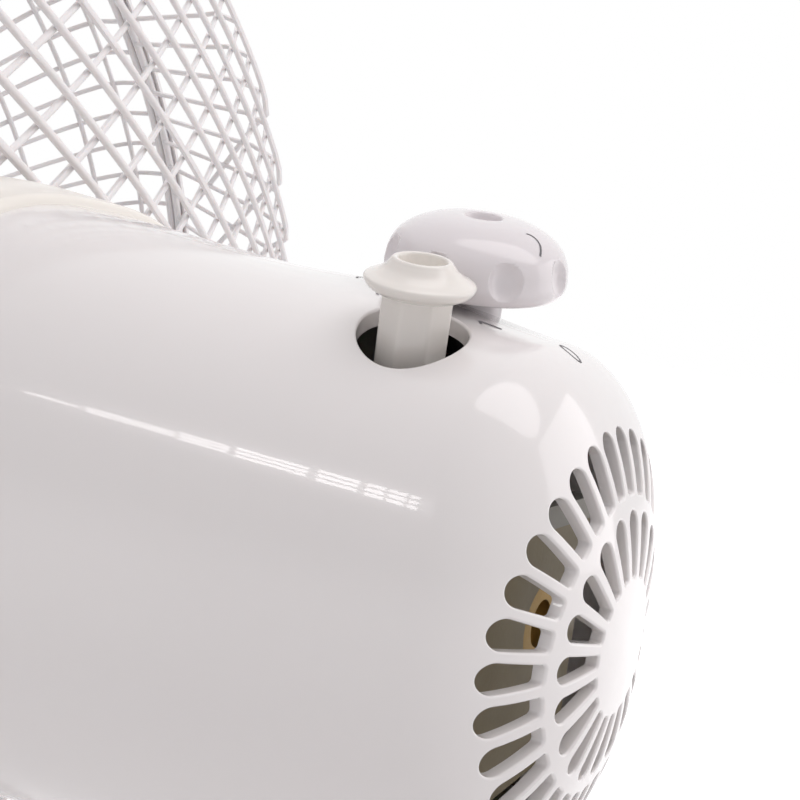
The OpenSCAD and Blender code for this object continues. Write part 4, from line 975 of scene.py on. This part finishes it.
def makeBlades():
    b = blades
    shape = Form()
    for n in range(b["count"]):
        turn = math.radians(b["start"] + 360 * n / b["count"])
        rings = []
        for j in range(b["stations"] + 1):
            r = b["hub"] - 3 + (b["tip"] - 0.6 - b["hub"] + 3) * j / b["stations"]
            thin = 1 if j < b["stations"] - 1 else 0.6
            row = []
            for side in (1, -1):
                for i in list(range(b["across"] + 1))[::side]:
                    rr, a, y = bladePoint(r, i / b["across"], side * b["thick"] / 2 * thin)
                    row.append(aroundMotor(rr, -y, a + turn))
            rings.append(shape.ring(row))
        shape.skin(rings)
        shape.capEnds(rings)
    shape.lathe([(4.1, 120.0), (17.5, 120.0), (18.0, 120.5), (18.0, 143.5), (19.0, 144.2), (34.5, 147.6),
        (36.0, 149.0), (36.0, 187.5), (35.4, 190.5), (33.8, 192.9), (31.0, 194.0), (19.0, 194.0),
        (18.0, 193.2), (18.0, 178.0), (4.1, 178.0)], (0, axisH), 96, "y")
    piece("bladeWheel", shape, bladeWhite, "rotor", ["fan_blade"],
        sharp=45)
    nut = Form()
    nut.lathe([(4.1, 178.3), (15.6, 178.3), (16.0, 178.8), (16.0, 195.5), (15.4, 198.5), (13.6, 201.4),
        (11.0, 203.2), (8.0, 203.9), (0.02, 204.0)], (0, axisH), 120, "y",
        lambda r, h, a: r * (1 - 0.03 * max(0.0, math.cos(10 * a)) ** 4) if r > 12 and h > 181 else r)
    piece("bladeNutBody", nut, bladeWhite, "rotor", ["blade_nut"],
        sharp=35)


makeBlades()
print("blades made")

# base, column and tilt joint
base = {
    "r": 145.0, "boss": 26.0, "low": 3.0, "rim": 13.0, "tall": 48.0, "wall": 2.8, "column": 19.0,
    "gap": 0.3, "collarTop": 10.0, "socket": 28.0, "edge": 2.6, "edgeUp": 2.4,
}


def baseZ(r):
    u = max(0.0, (r - base["boss"]) / (base["r"] - base["boss"]))
    return base["low"] + base["rim"] + (base["tall"] - base["low"] - base["rim"]) * (1 - u * u)


def makeBase():
    b = base
    rimTop, collarTop, bore = b["low"] + b["rim"], b["tall"] + b["collarTop"], b["column"] + b["gap"]
    line = [(b["r"] - b["wall"], b["low"]), (b["r"] - 0.6, b["low"]), (b["r"], b["low"] + 0.6),
        (b["r"], rimTop - b["edge"])]
    line += [(b["r"] - b["edge"] * (1 - math.cos(t)), rimTop - b["edge"] + b["edgeUp"] * math.sin(t))
        for t in (math.radians(v) for v in (20, 40, 60, 75))]
    line += [(r, baseZ(r) - 0.05) for r in range(int(b["r"]) - 4, 34, -5)]
    neck = [(32.5, 0.0), (29.0, 0.6), (27.0, 2.4), (26.0, 5.2), (25.9, 9.0), (25.4, 9.8),
        (24.6, b["collarTop"])]
    line += smoothLine([(r, b["tall"] + up) for r, up in neck], 4)
    line += [(bore, collarTop), (bore, b["socket"]), (b["boss"], b["socket"]),
        (b["boss"], b["tall"] - b["wall"])]
    line += [(r, baseZ(r + b["wall"]) - b["wall"]) for r in range(35, int(b["r"] - b["wall"]), 6)]
    line += [(b["r"] - b["wall"], rimTop - 3), (b["r"] - b["wall"], b["low"])]
    shape = Form()
    shape.lathe(line, (0, 0), 192)
    piece("baseDome", shape, glossWhite, "stand", ["base_shell"],
        sharp=40)
    ring = Form()
    section = [(bore, 0.0), (24.6, 0.0), (24.9, 0.4), (24.4, 2.0), (22.4, 3.5), (21.0, 4.0), (19.8, 4.0),
        (bore, 3.6), (bore, 0.0)]
    ring.lathe([(r, collarTop + up) for r, up in section], (0, 0), 128)
    piece("columnCollar", ring, creamWhite, "stand", ["column_ring"],
        sharp=40)


tiltKnob = {
    "r": 15.5, "inner": 16.3, "deep": 18.0, "height": 262.0, "lobes": 6, "lobeDeep": 0.13, "foot": 2.5,
}


def makeTiltKnob():
    k = tiltKnob
    a0, a1, r = k["inner"], k["inner"] + k["deep"], k["r"]

    def lobed(rr, h, a):
        # the lobes start above the foot, and fade in
        if rr < 7 or h < a0 + k["foot"]:
            return rr
        wave = 0.5 + 0.5 * math.cos(k["lobes"] * a)
        fade = min(1.0, (h - a0 - k["foot"]) / k["foot"])
        return rr * (1 - k["lobeDeep"] * (1 - wave) ** 1.4 * fade)

    shape = Form()
    shape.lathe([(5.1, a0), (11.0, a0), (12.6, a0 + 0.3), (13.0, a0 + 1.0), (13.0, a0 + 2.6),
        (r - 1.2, a0 + 4.0), (r - 0.3, a0 + 5.0), (r, a0 + 6.4), (r, a1 - 5.2), (r - 0.5, a1 - 3.0),
        (r - 1.8, a1 - 1.3), (r - 3.8, a1 - 0.4), (r - 6.5, a1), (5.5, a1 - 0.1), (4.2, a1 - 0.5),
        (0.02, a1 - 0.7)], (0, k["height"]), 240, "x", lobed)
    piece("tiltKnobBody", shape, knobWhite, "tilt_knob", ["tilt_knob"],
        sharp=35)


shroud = {"r": 27.2, "wall": 2.0, "low": 278.7, "top": 306.0, "floor": 2.0, "hole": (8.0, 11.3), "edge": 2.4}


def makeShroud():
    s = shroud
    hx, hy = s["hole"]
    shape = Form()
    steps = 128

    def holeRing(z):
        row = []
        for a in evenly(steps):
            c, n = math.cos(a), math.sin(a)
            q = 1 / max(abs(c) / hx, abs(n) / hy)
            row.append((c * q, n * q, z))
        return shape.ring(row)

    def roundRing(r, z):
        return shape.ring([(r * math.cos(a), r * math.sin(a), z) for a in evenly(steps)])

    rings = [holeRing(s["low"]), roundRing(s["r"] - 3.0, s["low"])]
    for t in (math.radians(v) for v in (0, 22, 45, 68, 90)):
        rings.append(roundRing(s["r"] - s["edge"] * (1 - math.sin(t)),
            s["low"] + s["edge"] * (1 - math.cos(t))))
    rings += [roundRing(s["r"], s["top"] - 0.5), roundRing(s["r"] - 0.5, s["top"]),
        roundRing(s["r"] - s["wall"] + 0.3, s["top"]), roundRing(s["r"] - s["wall"], s["top"] - 0.3),
        roundRing(s["r"] - s["wall"], s["low"] + s["floor"]), holeRing(s["low"] + s["floor"])]
    shape.skin(rings, True)
    piece("swivelCup", shape, glossWhite, "swivel", ["swivel_shroud"],
        sharp=38)


makeBase()
makeTiltKnob()
makeShroud()
print("base and joints made")

# the rest keeps its own shape and gets its finish
dress(tubePaint, "column_tube")
dress(guardPaint, "guard_ring")
dress(castZinc, "column_plug", "tilt_clevis", "swivel_post", "motor_front_bracket", "motor_rear_bracket",
    "gearbox_cover")
# the gearbox case takes the painted-shade brown rather than zinc
dress(paintedShadeCase, "gearbox_case")
dress(brightSteel, "base_plate", "base_screws", "column_bolt", "clevis_screws", "tilt_bolt",
    "swivel_washer", "swivel_clip", "anchor_clip", "motor_bolts", "gearbox_screws", "front_cover_screws",
    "rear_cover_screws", "capacitor_clamp", "guard_ring_screw", "rotor_core", "motor_shaft", "drive_worm",
    "drive_pin", "clutch_shaft", "crank_gear", "crank_screw", "link_arm", "pull_rod", "switch_spindle")
dress(plainIron, "base_weight", "stator_core")
dress(copperWire, "stator_windings")
dress(bronze, "front_bearing", "rear_bearing", "pivot_bush", "tail_bush")
dress(darkRubber, "rubber_feet")
dress(nylonGear, "worm_wheel")
dress(blackPlastic, "cord_inlet", "speed_switch", "capacitor", "guard_nut")
print("plain pieces dressed")

# close behind the right shoulder of the head; metres and degrees
closeView = {"place": (0.1716, 0.1213, 0.4006), "turn": (84.604, -7.622, 119.22), "lens": 49.96, "film": 36}


def makeCamera():
    v = closeView
    camera = bpy.data.objects.new("camera", bpy.data.cameras.new("camera"))
    bpy.context.scene.collection.objects.link(camera)
    camera.location = v["place"]
    camera.rotation_euler = [math.radians(a) for a in v["turn"]]
    camera.data.sensor_width = v["film"]
    camera.data.lens = v["lens"]
    camera.data.clip_start = 0.01
    camera.data.clip_end = 50
    bpy.context.scene.camera = camera
    bpy.context.scene.view_settings.view_transform = "Standard"


makeCamera()


def seenDirectly(tree):
    # one for what the camera sees straight, in gloss or through something clear, and otherwise nought
    path = tree.nodes.new("ShaderNodeLightPath")
    seen = path.outputs["Is Camera Ray"]
    for kind in ("Is Glossy Ray", "Is Transmission Ray"):
        either = tree.nodes.new("ShaderNodeMath")
        either.operation = "MAXIMUM"
        tree.links.new(seen, either.inputs[0])
        tree.links.new(path.outputs[kind], either.inputs[1])
        seen = either.outputs[0]
    return seen


studio = {
    "floorColour": (0.84, 0.84, 0.84, 1), "floorHalf": 12,
    # the floor glows towards the edges of the room, and less round the foot so that the shadow shows
    "glowFrom": 0.35, "glowFull": 1.5, "glowLow": 0.3, "glowHigh": 0.75,
    "light": (1.0, 0.967, 0.985, 1), "strength": 0.45,
}


def makeFloor():
    mat = bpy.data.materials.new("paleFloor")
    mat.use_nodes = True
    tree = mat.node_tree
    shader = tree.nodes["Principled BSDF"]
    shader.inputs["Base Color"].default_value = studio["floorColour"]
    shader.inputs["Roughness"].default_value = 0.9
    shader.inputs["Specular IOR Level"].default_value = 0.1
    shader.inputs["Emission Color"].default_value = (1, 1, 1, 1)
    where = tree.nodes.new("ShaderNodeNewGeometry")
    away = tree.nodes.new("ShaderNodeVectorMath")
    away.operation = "LENGTH"
    tree.links.new(where.outputs["Position"], away.inputs[0])
    glow = tree.nodes.new("ShaderNodeMapRange")
    glow.interpolation_type = "SMOOTHSTEP"
    glow.inputs["From Min"].default_value = studio["glowFrom"]
    glow.inputs["From Max"].default_value = studio["glowFull"]
    glow.inputs["To Min"].default_value = studio["glowLow"]
    glow.inputs["To Max"].default_value = studio["glowHigh"]
    tree.links.new(away.outputs["Value"], glow.inputs["Value"])
    top = tree.nodes.new("ShaderNodeMath")
    top.operation = "MULTIPLY"
    tree.links.new(glow.outputs["Result"], top.inputs[1])
    tree.links.new(seenDirectly(tree), top.inputs[0])
    tree.links.new(top.outputs[0], shader.inputs["Emission Strength"])
    mesh = bpy.data.meshes.new("floor")
    half = studio["floorHalf"]
    mesh.from_pydata([(-half, -half, 0), (half, -half, 0), (half, half, 0), (-half, half, 0)], [],
        [(0, 1, 2, 3)])
    mesh.materials.append(mat)
    floor = bpy.data.objects.new("floor", mesh)
    bpy.context.scene.collection.objects.link(floor)


def makeRoomLight():
    world = bpy.data.worlds.new("room")
    bpy.context.scene.world = world
    world.use_nodes = True
    tree = world.node_tree
    tree.nodes.clear()
    out = tree.nodes.new("ShaderNodeOutputWorld")
    mix = tree.nodes.new("ShaderNodeMixShader")
    lit = tree.nodes.new("ShaderNodeBackground")
    lit.inputs["Color"].default_value = studio["light"]
    lit.inputs["Strength"].default_value = studio["strength"]
    seen = tree.nodes.new("ShaderNodeBackground")
    seen.inputs["Color"].default_value = (1, 1, 1, 1)
    tree.links.new(seenDirectly(tree), mix.inputs["Fac"])
    tree.links.new(lit.outputs[0], mix.inputs[1])
    tree.links.new(seen.outputs[0], mix.inputs[2])
    tree.links.new(mix.outputs[0], out.inputs["Surface"])


def lamp(name, place, target, size, power, colour=(1, 1, 1), tall=None):
    data = bpy.data.lights.new(name, "AREA")
    data.energy = power
    data.color = colour
    data.size = size
    if tall:
        data.shape = "RECTANGLE"
        data.size_y = tall
    obj = bpy.data.objects.new(name, data)
    bpy.context.scene.collection.objects.link(obj)
    obj.location = place
    obj.rotation_mode = "QUATERNION"
    obj.rotation_quaternion = (Vector(target) - Vector(place)).to_track_quat("-Z", "Y")
    return obj


def turnLamp(light, side, away):
    # sets which way the long side of a lamp runs and where its back faces
    away = Vector(away).normalized()
    side = Vector(side)
    side = (side - away * side.dot(away)).normalized()
    light.rotation_quaternion = Matrix((side, away.cross(side), away)).transposed().to_quaternion()


makeFloor()
makeRoomLight()
heart = Vector((0.04, 0.03, 0.375))    # middle of the casing, in metres like all that follows


def along(direction, far=2.5):
    # a place for a lamp, so far from the casing
    return heart + Vector(direction).normalized() * far


# the two lamps that gloss doesn't see only light the casing; the oval one leaves its image on the shoulder
warm = (1, 0.965, 0.97)
lamp("topSoftbox", (0, 0.2, 3.2), heart, 5.0, 44, warm).visible_glossy = False
lamp("rearSoftbox", (-2.1, 2.5, 1.2), heart, 2.4, 20, warm)
shoulder = lamp("shoulderLamp", along((-0.262, 0.795, 2.47), 2.6), heart, 3.5, 19, warm, 1.4)
shoulder.data.shape = "ELLIPSE"
turnLamp(shoulder, (-0.38, 0.833, -0.403), (0.12, 0.47, 0.86))
lamp("cornerLamp", along((-2.218, 0.851, 0.985), 2.57), heart, 2.0, 1.2, warm, 1.2).visible_glossy = False

# a row of windows behind blinds, whose image runs along the side of the casing
windows = {
    "from": (0.762, -0.555, 0.326), "to": (0.904, -0.22, 0.372),
    # start and end of each window along the row
    "spans": [(-0.01, 0.125), (0.143, 0.369), (0.381, 0.51), (0.529, 0.718), (0.745, 0.855),
        (0.876, 0.926), (0.936, 0.984), (0.994, 1.02)],
    "tall": (0.02, 0.26),
    "slats": 3,
    "slatGap": 0.34,
    "bright": 9.0,    # watts for each square metre, over pi
}


def makeWindows():
    w = windows
    first, last = along(w["from"]), along(w["to"])
    path = last - first
    for number, (start, end) in enumerate(w["spans"]):
        middle = first + path * (start + end) / 2
        away = (middle - heart).normalized()
        up = away.cross(path).normalized()
        pitch = (w["tall"][0] + (w["tall"][1] - w["tall"][0]) * (start + end) / 2) / w["slats"]
        wide, tall = path.length * (end - start), pitch * (1 - w["slatGap"])
        for slat in range(w["slats"]):
            light = lamp("window" + str(number + 1) + "slat" + str(slat + 1),
                middle + up * pitch * (slat - (w["slats"] - 1) / 2), heart, wide,
                w["bright"] * math.pi * wide * tall, warm, tall)
            turnLamp(light, path, away)


makeWindows()
print("stage made")
